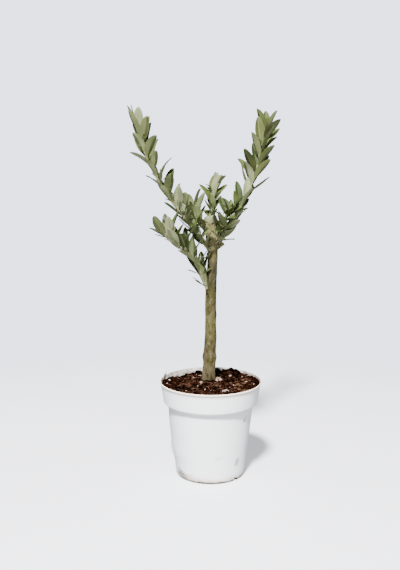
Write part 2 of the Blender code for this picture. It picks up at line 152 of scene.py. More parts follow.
# Soil: lumps and grains that can be told apart, as x, y, size and tone
LUMPS = (
    (10, 61, 4.6, 0), (13, 53, 3.6, 0), (32, 60, 6.4, 0), (26, 59, 4.8, 0), (37, 55, 4.4, 0),
    (21, 61, 3.4, 0), (-19, 62, 4.6, 0), (-27, 58, 4.2, 0), (-37, 54, 3.8, 0), (-58, 38, 2.8, 0),
    (-51, 43, 2.6, 0), (-45, 46, 2.6, 0), (42, 48, 3.8, 0), (3, 60, 3.0, 0), (-9, 61, 2.8, 0),
    (17, 50, 2.8, 0), (45, 40, 3.0, 1), (52, 32, 2.4, 0), (-62, 30, 2.4, 0), (38, 44, 3.2, 1),
    (57, 18, 2.8, 1), (-50, 12, 2.2, 1), (-35, -14, 2.2, 2), (40, -4, 3.4, 3), (44, -14, 3.2, 3),
    (49, 2, 2.8, 3), (41, -27, 3.2, 3), (47, -30, 2.8, 3), (36, -20, 2.2, 3), (26, 20, 2.8, 0),
    (20, 32, 3.0, 0), (-8, -36, 2.2, 2), (4, -44, 2.4, 1), (-30, 30, 2.4, 0), (-42, 26, 2.2, 1),
    (14, -20, 2.2, 2), (4, 8, 2.4, 0), (1, 6, 2.0, 0), (7, 12, 2.2, 0), (-1, 5.5, 1.6, 1), (-13, 12, 1.8, 0),
)
PERLITE = (
    (12, 16, 4.6, 1), (10, 9, 2.4, 0), (0, 8, 2.0, 1), (20, -34, 4.4, 0), (24, -36, 2.2, 0),
    (27, -20, 1.7, 0), (27, -41, 1.5, 0), (-15, 0, 3.0, 1), (-23, -26, 2.1, 1), (-19, -14, 1.6, 1),
    (-16, 42, 2.4, 1), (-22, 53, 2.0, 1), (-26, 32, 2.0, 1), (30, 36, 1.9, 0), (-61, 7, 1.8, 1),
    (-63, -7, 2.1, 1), (-35, -36, 1.4, 0), (56, 37, 1.5, 1), (53, 5, 1.8, 0), (63, -11, 1.5, 0),
    (-8, -27, 1.2, 1), (2, -31, 1.1, 0), (15, -11, 1.1, 1), (48, 33, 1.3, 1), (-10, 50, 2.2, 1),
    (-12, 57, 1.6, 0), (34, -6, 1.2, 1), (-4, -50, 1.2, 1),
)
# Long fibres that lie across the soil: the two ends
LONG_FIBRES = (
    ((-36, 4), (-28, -18)), ((-31, 36), (-23, 6)), ((-52, 26), (-30, 34)), ((-20, 10), (-12, -16)),
    ((-46, -8), (-30, -12)), ((30, 4), (44, 14)), ((-40, 18), (-44, -6)), ((14, -26), (30, -10)),
)
# Shreds stuck to the wall and standing over its rim: the two ends
SHREDS = (
    ((-71.0, 12.0, 137.5), (-66.5, 34.0, 145.0)), ((-70.5, 8.0, 136.0), (-69.5, 22.0, 142.5)),
    ((-68.0, 22.0, 135.5), (-70.0, 26.0, 143.5)),
)
# Where loose things may lie: how far from the pot's axis and how close to the trunk's foot
LITTER_REACH = 70.0
LITTER_CLEAR = 9.8
FIBRE_REACH = 67
FIBRE_CLEAR = 10
# Crumbs further out than this lie along the wall, and those before this y lie along its front.
BY_WALL = 64
BY_FRONT = -34
CRUMBS = 1700
FOOT_CRUMBS = 70
FOOT_CRUMBS_AWAY = (9.6, 13.4)
FIBRES = 330
FIBRE_STEPS = 7
FIBRE_LENGTH = (4, 13)
# The first fibres are longer than the others.
LONGER_FIBRES = 40
LONGER_LENGTH = (12, 26)
GRAINS = 26
BLACK, RED, BROWN, TAN = range(4)
SOIL_TONES = (
    ("black_peat", (0.0014, 0.0008, 0.0006)),
    ("red_peat", (0.0085, 0.0026, 0.0012)),
    ("brown_peat", (0.019, 0.0070, 0.0034)),
    ("tan_peat", (0.052, 0.028, 0.0150)),
)
FIBRE_TONES = (
    ("pale_fibre", (0.078, 0.036, 0.022), 0.85, 0.1),
    ("dark_fibre", (0.016, 0.006, 0.003), 0.9, 0.05),
    ("shred", (0.11, 0.10, 0.085), 0.8, 0.1),
)
GRAIN_TONES = (("perlite", (0.33, 0.26, 0.22)), ("tan_grain", (0.19, 0.125, 0.095)))

# Leaf tones. Each upper tone is followed by the tone of its midrib, and the stalks and the ribs
# beneath share the last tone.
LEAF_TONES = (
    ("leaf_deep", (0.021, 0.032, 0.0085), 0.46), ("leaf_deep_rib", (0.046, 0.060, 0.018), 0.5),
    ("leaf_green", (0.040, 0.056, 0.012), 0.48), ("leaf_green_rib", (0.074, 0.090, 0.026), 0.5),
    ("leaf_olive", (0.072, 0.088, 0.026), 0.5), ("leaf_olive_rib", (0.11, 0.125, 0.045), 0.52),
    ("leaf_young", (0.044, 0.078, 0.0035), 0.52), ("leaf_young_rib", (0.075, 0.11, 0.010), 0.52),
    ("leaf_silver", (0.20, 0.22, 0.115), 0.7),
    ("leaf_pale", (0.140, 0.162, 0.070), 0.68),
    ("leaf_dusk", (0.100, 0.117, 0.045), 0.68),
    ("leaf_stalk", (0.14, 0.155, 0.062), 0.6),
)
YOUNG = 6
STALK = 11
# Tones of upper and of lower faces with their weights: of the open shoots, of the shaded shoots and
# the right arm, and of the low shoot
# The shaded shoots' darker tones are painted shade.
OPEN_TONES = (((0, 2), (2, 4), (4, 4)), ((8, 2), (9, 4), (10, 3)))
SHADED_TONES = (((0, 4), (2, 5), (4, 2)), ((8, 0.5), (9, 3), (10, 4), (4, 3)))
LOW_TONES = (((0, 4), (2, 3), (4, 4)), ((8, 3), (9, 4), (10, 2), (2, 1), (0, 1)))

# Shoots, drawn by the same rule and the same seeds as the solids. Lengths are in mm, angles in degrees, and
# widths are shares of the length. Only the looks read the tones, the share of leaves with a sprig in their
# corner, the length of a sprig's leaves and of the leaves at the tip, and "slim", a factor on the width of
# the blades. Each leaf of a varied shoot's sprigs has a tone of its own, and a vivid shoot ends in two
# broader young leaves.
SHORT_SHOOT = {
    "bare": 0, "stem": (1.5, 0.9), "small": 0.85,
    "sprigs": 0.75, "sprig": (8.0, 16.0), "tip": 15.0,
}
SHOOTS = {
    "left": {
        "route": ((-4, 12, 339), (-25, 3, 364), (-56, -12, 405), (-86, -28, 458), (-103, -41, 513)),
        "bare": 12, "stem": (2.1, 0.9), "first": 18, "last": 191, "pairs": 17, "phase": 30,
        "open": 41, "closed": 24, "lift": 0.7, "length": 38, "width": 0.33, "small": 0.8,
        "seeds": (741, 826, 871, 727, 589, 768, 507, 362),
        "tones": OPEN_TONES, "sprigs": 0.65, "sprig": (9.0, 17.0), "tip": 24.0,
    },
    "right": {
        "route": ((4, 15, 336), (16, 19, 346), (32, 26, 374), (56, 35, 416), (69, 42, 456), (80, 49, 500)),
        "bare": 12, "stem": (2.1, 0.9), "first": 19, "last": 190, "pairs": 17, "phase": 45,
        "open": 35, "closed": 32, "lift": 0.5, "length": 41, "width": 0.34, "small": 0.8,
        "seeds": (995, 550, 515, 805, 719, 240, 495, 854),
        "tones": SHADED_TONES, "sprigs": 0.32, "sprig": (6.0, 12.0), "tip": 31.0, "vivid": True,
    },
    "low_left": {
        "route": ((-3, 12, 270), (-13, 3, 292), (-20, -5, 315), (-30, -12, 329),
                  (-49, -21, 341), (-68, -30, 360)),
        "bare": 0, "stem": (1.9, 0.9), "first": 7, "last": 116, "pairs": 14, "phase": 85,
        "open": 31, "closed": 27, "lift": 0.7, "length": 39, "width": 0.34, "small": 0.8,
        "seeds": (145, 919, 727, 775, 923, 128, 184),
        "tones": LOW_TONES, "sprigs": 0.85, "sprig": (10.0, 19.0), "tip": 15.0, "slim": 0.84, "varied": True,
    },
    "centre": {
        **SHORT_SHOOT, "route": ((1, 24, 366), (2, 30, 396), (6, 36, 430)),
        "stem": (1.6, 0.9), "first": 8, "last": 52, "pairs": 8, "phase": 10,
        "open": 38, "closed": 16, "lift": 0.0, "length": 33, "width": 0.41,
        "seeds": (5, 88, 324, 683), "tones": SHADED_TONES,
    },
    "inner_left": {
        **SHORT_SHOOT, "route": ((-4, 14, 354), (-13, 16, 365), (-26, 24, 389)),
        "first": 8, "last": 46, "pairs": 9, "phase": 5,
        "open": 54, "closed": 34, "lift": 0.3, "length": 33, "width": 0.41,
        "seeds": (38, 758, 513, 935), "tones": SHADED_TONES,
    },
    "inner_right": {
        **SHORT_SHOOT, "route": ((6, 12, 352), (13, 8, 364), (26, 2, 388)),
        "first": 9, "last": 40, "pairs": 6, "phase": 15,
        "open": 51, "closed": 36, "lift": 0.5, "length": 31, "width": 0.43,
        "seeds": (575, 814, 635), "tones": SHADED_TONES,
    },
    "fore_left": {
        **SHORT_SHOOT, "route": ((-4, 8, 334), (-14, -3, 347), (-30, -9, 369)),
        "first": 10, "last": 37, "pairs": 6, "phase": 70,
        "open": 42, "closed": 31, "lift": 0.5, "length": 29, "width": 0.42,
        "seeds": (605, 411, 286), "tones": OPEN_TONES,
    },
    "fore_right": {
        **SHORT_SHOOT, "route": ((7, 9, 343), (15, 3, 352), (27, -5, 372)),
        "first": 6, "last": 32, "pairs": 8, "phase": 40,
        "open": 50, "closed": 38, "lift": 0.6, "length": 32, "width": 0.38,
        "seeds": (750, 785, 645), "tones": OPEN_TONES,
    },
}
STEM_SIDES = 12
STEM_STEP = 0.8
TIP_ROOM = 2.0
PETIOLE_HALF_WIDTH = 0.65
BEND_STEPS = 28
# Turns in degrees that a leaf may take to keep clear of a neighbour: round its stem, away from its stem
NUDGES = ((0, 0), (9, 0), (-9, 0), (0, 7), (0, -7), (14, -8), (-14, -8), (0, 14),
          (18, 6), (-18, 6), (26, 0), (-26, 0))
# A drawn leaf stands where these places along it lie within this many mm of the solid.
MATCH_AT = (0.42, 0.76, 1.0)
MATCH_WITHIN = 0.6
LEAF_STATIONS = (0.0, 0.05, 0.09, 0.13, 0.19, 0.27, 0.37, 0.48, 0.59, 0.70, 0.80, 0.88, 0.94, 0.98, 1.0)
# Points across the upper and the lower face, as shares of half the width
UPPER_POINTS = (1.0, 0.55, 0.1, -0.1, -0.55, -1.0)
LOWER_POINTS = (-0.55, -0.1, 0.1, 0.55)
# The midrib's groove above, its ridge below and the blade's thickness in mm, then how far the margins roll
# back and how far the blade ripples, as shares of half the width
GROOVE = 0.12
RIDGE = 0.34
THICKNESS = 0.42
ROLL_BACK = 0.16
RIPPLE = 0.05

# Scuffs on the pot: place, radius, colour and strength
POT_MARKS = (
    ((48.7, -36.7, 91.0), 4.0, (0.13, 0.11, 0.11), 0.9),
    ((50.5, -34.0, 96.0), 3.0, (0.30, 0.29, 0.29), 0.6),
    ((39.0, -37.5, 31.0), 6.5, (0.16, 0.18, 0.22), 0.85),
    ((37.8, -38.3, 26.0), 5.5, (0.22, 0.24, 0.28), 0.75),
    ((-44.5, -27.0, 9.0), 9.0, (0.055, 0.04, 0.032), 0.95),
    ((-40.6, -31.9, 7.0), 8.0, (0.12, 0.09, 0.07), 0.9),
    ((-35.8, -37.0, 6.0), 8.0, (0.20, 0.16, 0.13), 0.8),
    ((-29.0, -42.3, 6.5), 7.0, (0.50, 0.43, 0.36), 0.6),
    ((10.0, -54.0, 40.0), 6.5, (0.44, 0.48, 0.50), 0.5),
    ((16.0, -52.0, 41.5), 4.0, (0.48, 0.52, 0.54), 0.5),
    ((-60.0, 10.0, 80.0), 5.0, (0.55, 0.52, 0.48), 0.4),
    ((20.0, 55.0, 40.0), 4.0, (0.45, 0.43, 0.41), 0.5),
)
# Bark colour along the stem, as a share of its height
# Partly painted leaf shade at 0.51 and 0.64, and painted light on the leaf-shaded head from 0.76 up.
BARK_COLOURS = (
    (0.0, (0.028, 0.021, 0.0105)), (0.045, (0.047, 0.037, 0.0175)), (0.16, (0.047, 0.037, 0.0150)),
    (0.32, (0.044, 0.040, 0.0078)), (0.51, (0.036, 0.032, 0.0066)), (0.64, (0.029, 0.026, 0.0088)),
    (0.76, (0.060, 0.052, 0.0200)), (1.0, (0.120, 0.102, 0.042)),
)
# Painted leaf shade: factors on the bark colour along the stem, as shares of its height
BARK_LEAF_SHADE = ((0.46, (1.0, 1.0, 1.0)), (0.60, (0.72, 0.76, 0.78)), (0.74, (0.74, 0.78, 0.78)),
               (0.80, (1.0, 1.0, 1.0)))

# Studio
FLOOR_RINGS = (200.0, 600.0, 1500.0, 4000.0)
FLOOR_SIDES = 96
# Metres from the middle over which the floor fades into the surroundings
FLOOR_FADE = (0.30, 1.10)
FLOOR_DARK = (0.69, 0.71, 0.76)
FLOOR_PALE = (0.72, 0.74, 0.79)
FLOOR_BOUNCE = (0.30, 0.30, 0.31)
SURROUNDINGS = (0.85, 0.92, 1.06)
SEEN_LIGHT = 3.05
CAST_LIGHT = 0.16
GLOW = (0.93, 0.93, 0.97)
FLOOR_GLOW = 0.55
LIGHT_TARGET = (0, 0, 0.3)
# Each light: place, size, power and colour
LIGHTS = (
    ("key", (-0.46, -2.47, 3.36), 0.52, 960.0, (1.0, 0.985, 0.975)),
    ("fill", (0.10, -2.60, 0.50), 1.2, 55.0, (1.0, 0.99, 0.98)),
)


class Route:
    """A smooth curve through a few points, read by the length along it."""

    STEPS = 10

    def __init__(self, points):
        marks = [Vector(point) for point in points]
        marks = [2 * marks[0] - marks[1]] + marks + [2 * marks[-1] - marks[-2]]
        self.points = []
        for p0, p1, p2, p3 in zip(marks, marks[1:], marks[2:], marks[3:]):
            for step in range(self.STEPS):
                u = step / self.STEPS
                self.points.append(0.5 * (2 * p1 + (p2 - p0) * u + (2 * p0 - 5 * p1 + 4 * p2 - p3) * u * u
                                          + (3 * p1 - p0 - 3 * p2 + p3) * u ** 3))
        self.points.append(marks[-2])
        self.marks = [0.0]
        for a, b in zip(self.points, self.points[1:]):
            self.marks.append(self.marks[-1] + (b - a).length)
        self.length = self.marks[-1]

    def at(self, distance):
        distance = min(max(distance, 0.0), self.length)
        for k in range(1, len(self.marks)):
            if distance <= self.marks[k]:
                share = (distance - self.marks[k - 1]) / (self.marks[k] - self.marks[k - 1])
                return self.points[k - 1].lerp(self.points[k], share)
        return self.points[-1].copy()

    def direction(self, distance, reach=2.0):
        ahead = self.at(min(distance + reach, self.length))
        return (ahead - self.at(max(distance - reach, 0.0))).normalized()


def read_table(table, x):
    """Straight-line reading of a table of (x, value) pairs."""
    for (x0, v0), (x1, v1) in zip(table, table[1:]):
        if x <= x1:
            return v0 + (v1 - v0) * max(0.0, x - x0) / (x1 - x0)
    return table[-1][1]


def clamp(value):
    return min(1.0, max(0.0, value))


def noise_at(x, y, z):
    return noise.noise(Vector((x, y, z)))


def square_to(aim):
    """Two directions square to an aim, the first as near to the front as it can be."""
    front = (FRONT - FRONT.dot(aim) * aim).normalized()
    return front, aim.cross(front)


def circle(radius, z, count):
    steps = (2 * math.pi * k / count for k in range(count))
    return [Vector((radius * math.cos(a), radius * math.sin(a), z)) for a in steps]


def tube_rings(centres, radii, sides, swell=None):
    """Rings round a centre line, carried along it without twisting."""
    rings = []
    across = None
    for k, centre in enumerate(centres):
        ahead = centres[min(k + 1, len(centres) - 1)] - centres[max(k - 1, 0)]
        ahead.normalize()
        start = across if across else FRONT
        across = (start - start.dot(ahead) * ahead).normalized()
        beside = ahead.cross(across)
        ring = []
        for j in range(sides):
            angle = 2 * math.pi * j / sides
            radius = radii[k] * (swell(k, angle) if swell else 1.0)
            ring.append(centre + radius * (math.cos(angle) * across + math.sin(angle) * beside))
        rings.append(ring)
    return rings


class Sheaf:
    """Many small closed shapes gathered into one piece."""

    def __init__(self):
        self.points = []
        self.faces = []
        self.kinds = []

    def add(self, rings, kind=0, kinds=None):
        """A skin over rings of points, with one row of kinds to each step between two rings."""
        starts = []
        for ring in rings:
            starts.append(len(self.points))
            self.points.extend(ring)
        for k in range(len(rings) - 1):
            low, high = rings[k], rings[k + 1]
            a, b = starts[k], starts[k + 1]
            count = max(len(low), len(high))
            for j in range(count):
                after = (j + 1) % count
                if len(low) == 1:
                    face = (a, b + after, b + j)
                elif len(high) == 1:
                    face = (a + j, a + after, b)
                else:
                    face = (a + j, a + after, b + after, b + j)
                self.faces.append(face)
                self.kinds.append(kinds[k][j] if kinds else kind)
        for ring, start, turn in ((rings[0], starts[0], -1), (rings[-1], starts[-1], 1)):
            if len(ring) > 2:
                self.faces.append(tuple(start + j for j in range(len(ring)))[::turn])
                self.kinds.append(kind)

    def add_lump(self, points, faces, kind=0):
        start = len(self.points)
        self.points.extend(points)
        self.faces.extend(tuple(start + j for j in face) for face in faces)
        self.kinds.extend([kind] * len(faces))

    def piece(self, name, materials, smooth_angle=60):
        data = bpy.data.meshes.new(name)
        data.from_pydata([point * MM for point in self.points], [], self.faces)
        for material in materials:
            data.materials.append(material)
        data.polygons.foreach_set("material_index", self.kinds)
        data.shade_smooth()
        data.set_sharp_from_angle(angle=math.radians(smooth_angle))
        data.update()
        result = bpy.data.objects.new(name, data)
        bpy.context.scene.collection.objects.link(result)
        return result


def dress(piece, slot, *nodes):
    """The piece rides with the plant and stands for the nodes. The slot is not used."""
    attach(piece, "root")
    if nodes:
        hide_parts(*nodes)


def set_shade(piece, values):
    """A number for each point, which the piece's material reads as "shade"."""
    layer = piece.data.attributes.new("shade", "FLOAT", "POINT")
    layer.data.foreach_set("value", values)


class Nodes:
    """A node tree, with short ways to add the nodes that the looks need."""

    def __init__(self, tree):
        self.tree = tree

    def fill(self, socket, value):
        """Gives a socket a link, a number, a vector or a colour."""
        if isinstance(value, bpy.types.NodeSocket):
            self.tree.links.new(value, socket)
        elif isinstance(value, (int, float)) or socket.type == "VECTOR":
            socket.default_value = value
        else:
            socket.default_value = (*value, 1.0)

    def add(self, kind, sockets):
        node = self.tree.nodes.new(kind)
        for name, value in sockets.items():
            self.fill(node.inputs[name], value)
        return node

    def spread(self, factor, low, high, to_low=0.0, to_high=1.0):
        """A range of the factor drawn out to another range."""
        return self.add("ShaderNodeMapRange", {
            "Value": factor, "From Min": low, "From Max": high, "To Min": to_low, "To Max": to_high,
        }).outputs["Result"]

    def mix(self, factor, first, second, mode="MIX"):
        node = self.tree.nodes.new("ShaderNodeMix")
        node.data_type = "RGBA"
        node.blend_type = mode
        for k, value in ((0, factor), (6, first), (7, second)):
            self.fill(node.inputs[k], value)
        return node.outputs[2]

    def ramp(self, factor, *stops):
        """Colours along a factor. Each stop is a place and a colour."""
        node = self.add("ShaderNodeValToRGB", {"Fac": factor})
        points = node.color_ramp.elements
        while len(points) < len(stops):
            points.new(0.5)
        for point, (place, colour) in zip(points, stops):
            point.position = place
            point.color = (*colour, 1.0)
        return node.outputs["Color"]

    def maths(self, operation, *values):
        node = self.tree.nodes.new("ShaderNodeMath")
        node.operation = operation
        for socket, value in zip(node.inputs, values):
            self.fill(socket, value)
        return node.outputs[0]


class Paint(Nodes):
    """A material whose colour, roughness and bumps follow noises over the part."""

    def __init__(self, name, specular):
        self.material = bpy.data.materials.new(name)
        self.material.use_nodes = True
        super().__init__(self.material.node_tree)
        self.shader = self.tree.nodes["Principled BSDF"]
        self.shader.inputs["Specular IOR Level"].default_value = specular
        self.place = self.tree.nodes.new("ShaderNodeTexCoord").outputs["Object"]

    def along(self, axis):
        """The place along one axis, in metres."""
        return self.add("ShaderNodeSeparateXYZ", {"Vector": self.place}).outputs[axis]

    def shade(self):
        """The number that set_shade gave to each point."""
        node = self.tree.nodes.new("ShaderNodeAttribute")
        node.attribute_name = "shade"
        return node.outputs["Fac"]

    def noise(self, scale, detail=4.0, roughness=0.55):
        """A noise over the part. The scale is a number, or one for each axis."""
        place = self.place
        if not isinstance(scale, (int, float)):
            place = self.add("ShaderNodeMapping", {"Vector": place, "Scale": scale}).outputs["Vector"]
            scale = 1.0
        return self.add("ShaderNodeTexNoise", {
            "Vector": place, "Scale": scale, "Detail": detail, "Roughness": roughness,
        }).outputs["Fac"]

    def coat(self, colour, tone, factor, low, high, weak=0.0, strong=1.0):
        """A tone over the colour, weak at the low end of the factor's range and strong at the high one."""
        return self.mix(self.spread(factor, low, high, weak, strong), colour, tone)

    def finish(self, colour, uneven, smooth, rough, relief, strength, depth, top=0.7):
        """Sets the colour, the roughness along one noise and the bumps along another."""
        self.fill(self.shader.inputs["Base Color"], colour)
        self.fill(self.shader.inputs["Roughness"], self.spread(uneven, 0.3, top, smooth, rough))
        bump = self.add("ShaderNodeBump", {"Strength": strength, "Distance": depth, "Height": relief})
        self.fill(self.shader.inputs["Normal"], bump.outputs["Normal"])
        return self.material


def pot_inner_profile():
    return (
        (FOOT_RADIUS - WALL, BASE),
        (BODY_TOP_RADIUS - WALL, BODY_TOP + 0.7),
        (BAND_FOOT_RADIUS - WALL, BAND_FOOT + 0.7),
        (RIM_RADIUS - LIP_WIDTH - 0.4, POT_HEIGHT - 2.0),
        (RIM_RADIUS - LIP_WIDTH, POT_HEIGHT - 0.3),
    )


def pot_profile():
    """Radius, height and kind of surface, from the foot up the outside and down the inside."""
    lip_foot = POT_HEIGHT - LIP_HEIGHT
    body = [(FOOT_RADIUS - 0.9, 0.0), (FOOT_RADIUS - 0.3, 0.25), (FOOT_RADIUS, 0.8)]
    for k in range(1, 15):
        share = k / 15
        body.append((FOOT_RADIUS + (BODY_TOP_RADIUS - FOOT_RADIUS) * share, 0.8 + (BODY_TOP - 0.8) * share))
    body += [
        (BODY_TOP_RADIUS, BODY_TOP - 1.0),
        (BODY_TOP_RADIUS + 0.5, BODY_TOP + 0.6),
        (BAND_FOOT_RADIUS - 2.2, BAND_FOOT - 1.6),
        (BAND_FOOT_RADIUS - 0.7, BAND_FOOT - 0.7),
        (BAND_FOOT_RADIUS - 0.1, BAND_FOOT + 0.1),
        (BAND_FOOT_RADIUS + 0.15, BAND_FOOT + 1.1),
    ]
    for k in range(1, 6):
        share = k / 5
        body.append((BAND_FOOT_RADIUS + 0.15 + (BAND_TOP_RADIUS - BAND_FOOT_RADIUS - 0.15) * share,
                     BAND_FOOT + 1.1 + (lip_foot - BAND_FOOT - 2.1) * share))
    lip = [
        (BAND_TOP_RADIUS + 0.5, lip_foot - 0.3),
        (RIM_RADIUS - 0.5, lip_foot),
        (RIM_RADIUS - 0.1, lip_foot + 0.35),
        (RIM_RADIUS, lip_foot + 0.8),
        (RIM_RADIUS, POT_HEIGHT - 0.8),
        (RIM_RADIUS - 0.25, POT_HEIGHT - 0.3),
        (RIM_RADIUS - 0.8, POT_HEIGHT),
    ]
    inside = [(RIM_RADIUS - LIP_WIDTH + 0.5, POT_HEIGHT), *reversed(pot_inner_profile()), (BASE_HUB, BASE)]
    return [(*spot, kind) for kind, spots in ((BODY, body), (LIP, lip), (INSIDE, inside)) for spot in spots]


def pot_bulge(out, z):
    """The thin wall stands out a little on its left side, most of all below the middle."""
    side = max(0.0, -out.x) ** 2
    return side * (1.9 * math.exp(-((z - 72) / 28) ** 2) + 2.4 * math.exp(-((z - 40) / 13) ** 2))


def slot_rings(turn):
    """The hollow of one drain slot, narrower towards its top."""
    width, depth, height = DRAIN_SIZE
    outward = Vector((math.sin(turn), -math.cos(turn), 0.0))
    along = Vector((-outward.y, outward.x, 0.0))
    rings = []
    for z, shrink in ((-1.0, 1.0), (height * 0.45, 1.0), (height * 0.8, 0.85), (height, 0.5)):
        half = 0.5 * width * shrink
        corners = ((-depth * 0.6, -half), (depth * 0.4, -half), (depth * 0.4, half), (-depth * 0.6, half))
        rings.append([outward * FOOT_RADIUS + outward * a + along * b + UP * z for a, b in corners])
    return rings


def cut_slots(pot):
    """Cuts the drain slots through the pot's foot."""
    scene = bpy.context.scene.collection
    group = bpy.data.collections.new("drain_slots")
    scene.children.link(group)
    for k in range(DRAIN_SLOTS):
        slot = Sheaf()
        slot.add(slot_rings(math.radians(DRAIN_TURN + 360 * k / DRAIN_SLOTS)))
        # The cutters' material, painted nearly black as shade, passes to the slots' sides.
        cutter = slot.piece("drain_slot", [slot_painted_shade()])
        scene.objects.unlink(cutter)
        group.objects.link(cutter)
    modifier = pot.modifiers.new("slots", "BOOLEAN")
    modifier.operation = "DIFFERENCE"
    modifier.operand_type = "COLLECTION"
    modifier.collection = group
    modifier.solver = "EXACT"
    modifier.material_mode = "TRANSFER"
    bpy.context.view_layer.update()
    result = bpy.data.meshes.new_from_object(pot.evaluated_get(bpy.context.evaluated_depsgraph_get()))
    pot.modifiers.clear()
    pot.data = result
    for cutter in list(group.objects):
        bpy.data.objects.remove(cutter)
    bpy.data.collections.remove(group)
    pot.data.set_sharp_from_angle(angle=math.radians(POT_SHARP))


def make_pot():
    """The pot as one turned shell, slightly out of round, with slots cut through its foot."""
    profile = pot_profile()
    rings = []
    for radius, z, kind in profile:
        ring = []
        for point in circle(radius, z, POT_SIDES):
            wave = 0.45 * noise_at(point.x * 0.02, point.y * 0.02, z * 0.015 + 3.0) - 0.35
            out = Vector((point.x, point.y, 0.0)).normalized()
            push = wave * min(1.0, z / 30.0) * (1.0 if z < BAND_FOOT else 0.35)
            if kind == BODY:
                push += pot_bulge(out, z)
            ring.append(point + out * push)
        rings.append(ring)
    shell = Sheaf()
    shell.add(rings, UNDER, [[kind] * POT_SIDES for _, _, kind in profile])
    plastics = [pot_plastic(), rim_plastic(), inner_plastic(), under_plastic()]
    pot = shell.piece("pot_shell", plastics, POT_SHARP)
    cut_slots(pot)
    dress(pot, "pot_plastic", "pot")


def from_foot(x, y):
    return math.hypot(x - TRUNK_LINE[0][0], y - TRUNK_LINE[0][1])


def soil_height(x, y):
    """Lumpy top of the potting soil, with a flat place under the trunk."""
    height = SOIL_LEVEL
    for mx, my, rise, reach in MOUNDS:
        height += rise * math.exp(-((x - mx) ** 2 + (y - my) ** 2) / (2 * (0.55 * reach) ** 2))
    height += 0.7 * math.sin(0.21 * x + 1.3) * math.cos(0.17 * y) + 0.5 * math.sin(0.43 * y - 0.31 * x)
    share = clamp((from_foot(x, y) - 13.0) / 22.0)
    share = share * share * (3 - 2 * share)
    return SOIL_PLATEAU + (height - SOIL_PLATEAU) * share


def crumbly(x, y):
    """Height of the loose surface, with lumps a few millimetres across."""
    coarse = noise_at(x * 0.16, y * 0.16, 4.0)
    lumps = 1.0 - 2.0 * abs(noise_at(x * 0.33, y * 0.33, 9.0))
    fine = noise_at(x * 0.9, y * 0.9, 2.0)
    return soil_height(x, y) - 0.8 + 1.2 * coarse + 1.1 * lumps + 0.5 * fine


def make_soil():
    rings = []
    for radius, z in pot_inner_profile():
        if z < BAND_FOOT + 1:
            rings.append(circle(radius - 0.6, z + 0.5, SOIL_SIDES))
    wall = [(z, r) for r, z in pot_inner_profile()]
    level = read_table(wall, SOIL_LEVEL)
    rim = []
    for point in circle(level, 0.0, SOIL_SIDES):
        height = min(SOIL_EDGE_TOP, crumbly(point.x, point.y) - 0.4)
        share = (read_table(wall, height) - 0.5) / level
        rim.append(Vector((point.x * share, point.y * share, height)))
    rings.append(rim)
    foot = Vector(TRUNK_LINE[0])
    for k in range(1, SOIL_RINGS + 1):
        share = 1.0 - k / (SOIL_RINGS + 1)
        ring = []
        for point in rim:
            x = foot.x + (point.x - foot.x) * share
            y = foot.y + (point.y - foot.y) * share
            ring.append(Vector((x, y, crumbly(x, y))))
        rings.append(ring)
    top = Sheaf()
    top.add(rings)
    dress(top.piece("soil_surface", [soil_material()], 180), "potting_soil", "soil")


def lump(centre, size, seed, squash, rough):
    """An irregular crumb: points and faces of a small ball pushed in and out."""
    mesh = bmesh.new()
    bmesh.ops.create_icosphere(mesh, subdivisions=2 if size > 1.6 else 1, radius=1.0)
    draw = random.Random(seed).uniform
    stretch = Vector((draw(0.75, 1.3), draw(0.75, 1.3), squash * draw(0.8, 1.2)))
    turn = Matrix.Rotation(draw(0, math.tau), 3, "Z") @ Matrix.Rotation(draw(-0.5, 0.5), 3, "X")
    shift = Vector((draw(0, 90), draw(0, 90), draw(0, 90)))
    points = []
    for vert in mesh.verts:
        push = 1.0 + rough * noise.noise(vert.co * 1.3 + shift)
        push += 0.5 * rough * noise.noise(vert.co * 3.1 + shift)
        local = Vector(a * b for a, b in zip(vert.co * push, stretch))
        points.append(centre + turn @ local * size)
    faces = [tuple(vert.index for vert in face.verts) for face in mesh.faces]
    mesh.free()
    return points, faces


def drop(sheaf, x, y, size, rise, seed, kind, squash=0.7, rough=0.28):
    """A lump on the soil, with its middle raised by a share of its size."""
    centre = Vector((x, y, crumbly(x, y) + rise * size))
    sheaf.add_lump(*lump(centre, size, seed, squash, rough), kind)


def on_soil(draw, margin=1.5):
    """A random place on the soil, clear of the trunk and of the pot's wall."""
    while True:
        x = draw(-LITTER_REACH, LITTER_REACH)
        y = draw(-LITTER_REACH, LITTER_REACH)
        if math.hypot(x, y) < LITTER_REACH - margin and from_foot(x, y) > LITTER_CLEAR:
            return x, y


def make_crumbs(draw):
    crumbs = Sheaf()
    for x, y, size, kind in LUMPS:
        drop(crumbs, x, y, size, 0.25, size * 100 + x, kind)
    for k in range(CRUMBS):
        x, y = on_soil(draw)
        size = 0.55 + 2.3 * draw(0, 1) ** 2.6
        by_wall = math.hypot(x, y) > BY_WALL
        # Crumbs at the back and, more so, along the wall turn black more often: painted shade by the wall.
        dark = noise_at(x * 0.06, y * 0.06, 5.0) + (0.4 if y > 30 else 0.0) + (0.6 if by_wall else 0.0)
        kind = BLACK if draw(-0.45, 0.8) < dark else RED
        if draw(0, 1) < 0.16:
            kind = BROWN
        elif draw(0, 1) < 0.06 and x > 5:
            kind = TAN
        if by_wall and y < BY_FRONT:
            kind = BROWN if k % 3 else TAN
        drop(crumbs, x, y, size, 0.2, k, kind)
    for k in range(FOOT_CRUMBS):
        angle = draw(0, math.tau)
        away = draw(*FOOT_CRUMBS_AWAY)
        x = TRUNK_LINE[0][0] + away * math.cos(angle)
        y = TRUNK_LINE[0][1] + away * math.sin(angle)
        drop(crumbs, x, y, draw(0.6, 1.7), 0.5, k + 5000, BLACK if k % 3 else RED)
    tones = [plain_material(*row, roughness=0.95, scale=900, specular=0.0) for row in SOIL_TONES]
    dress(crumbs.piece("soil_crumbs", tones), "potting_soil")


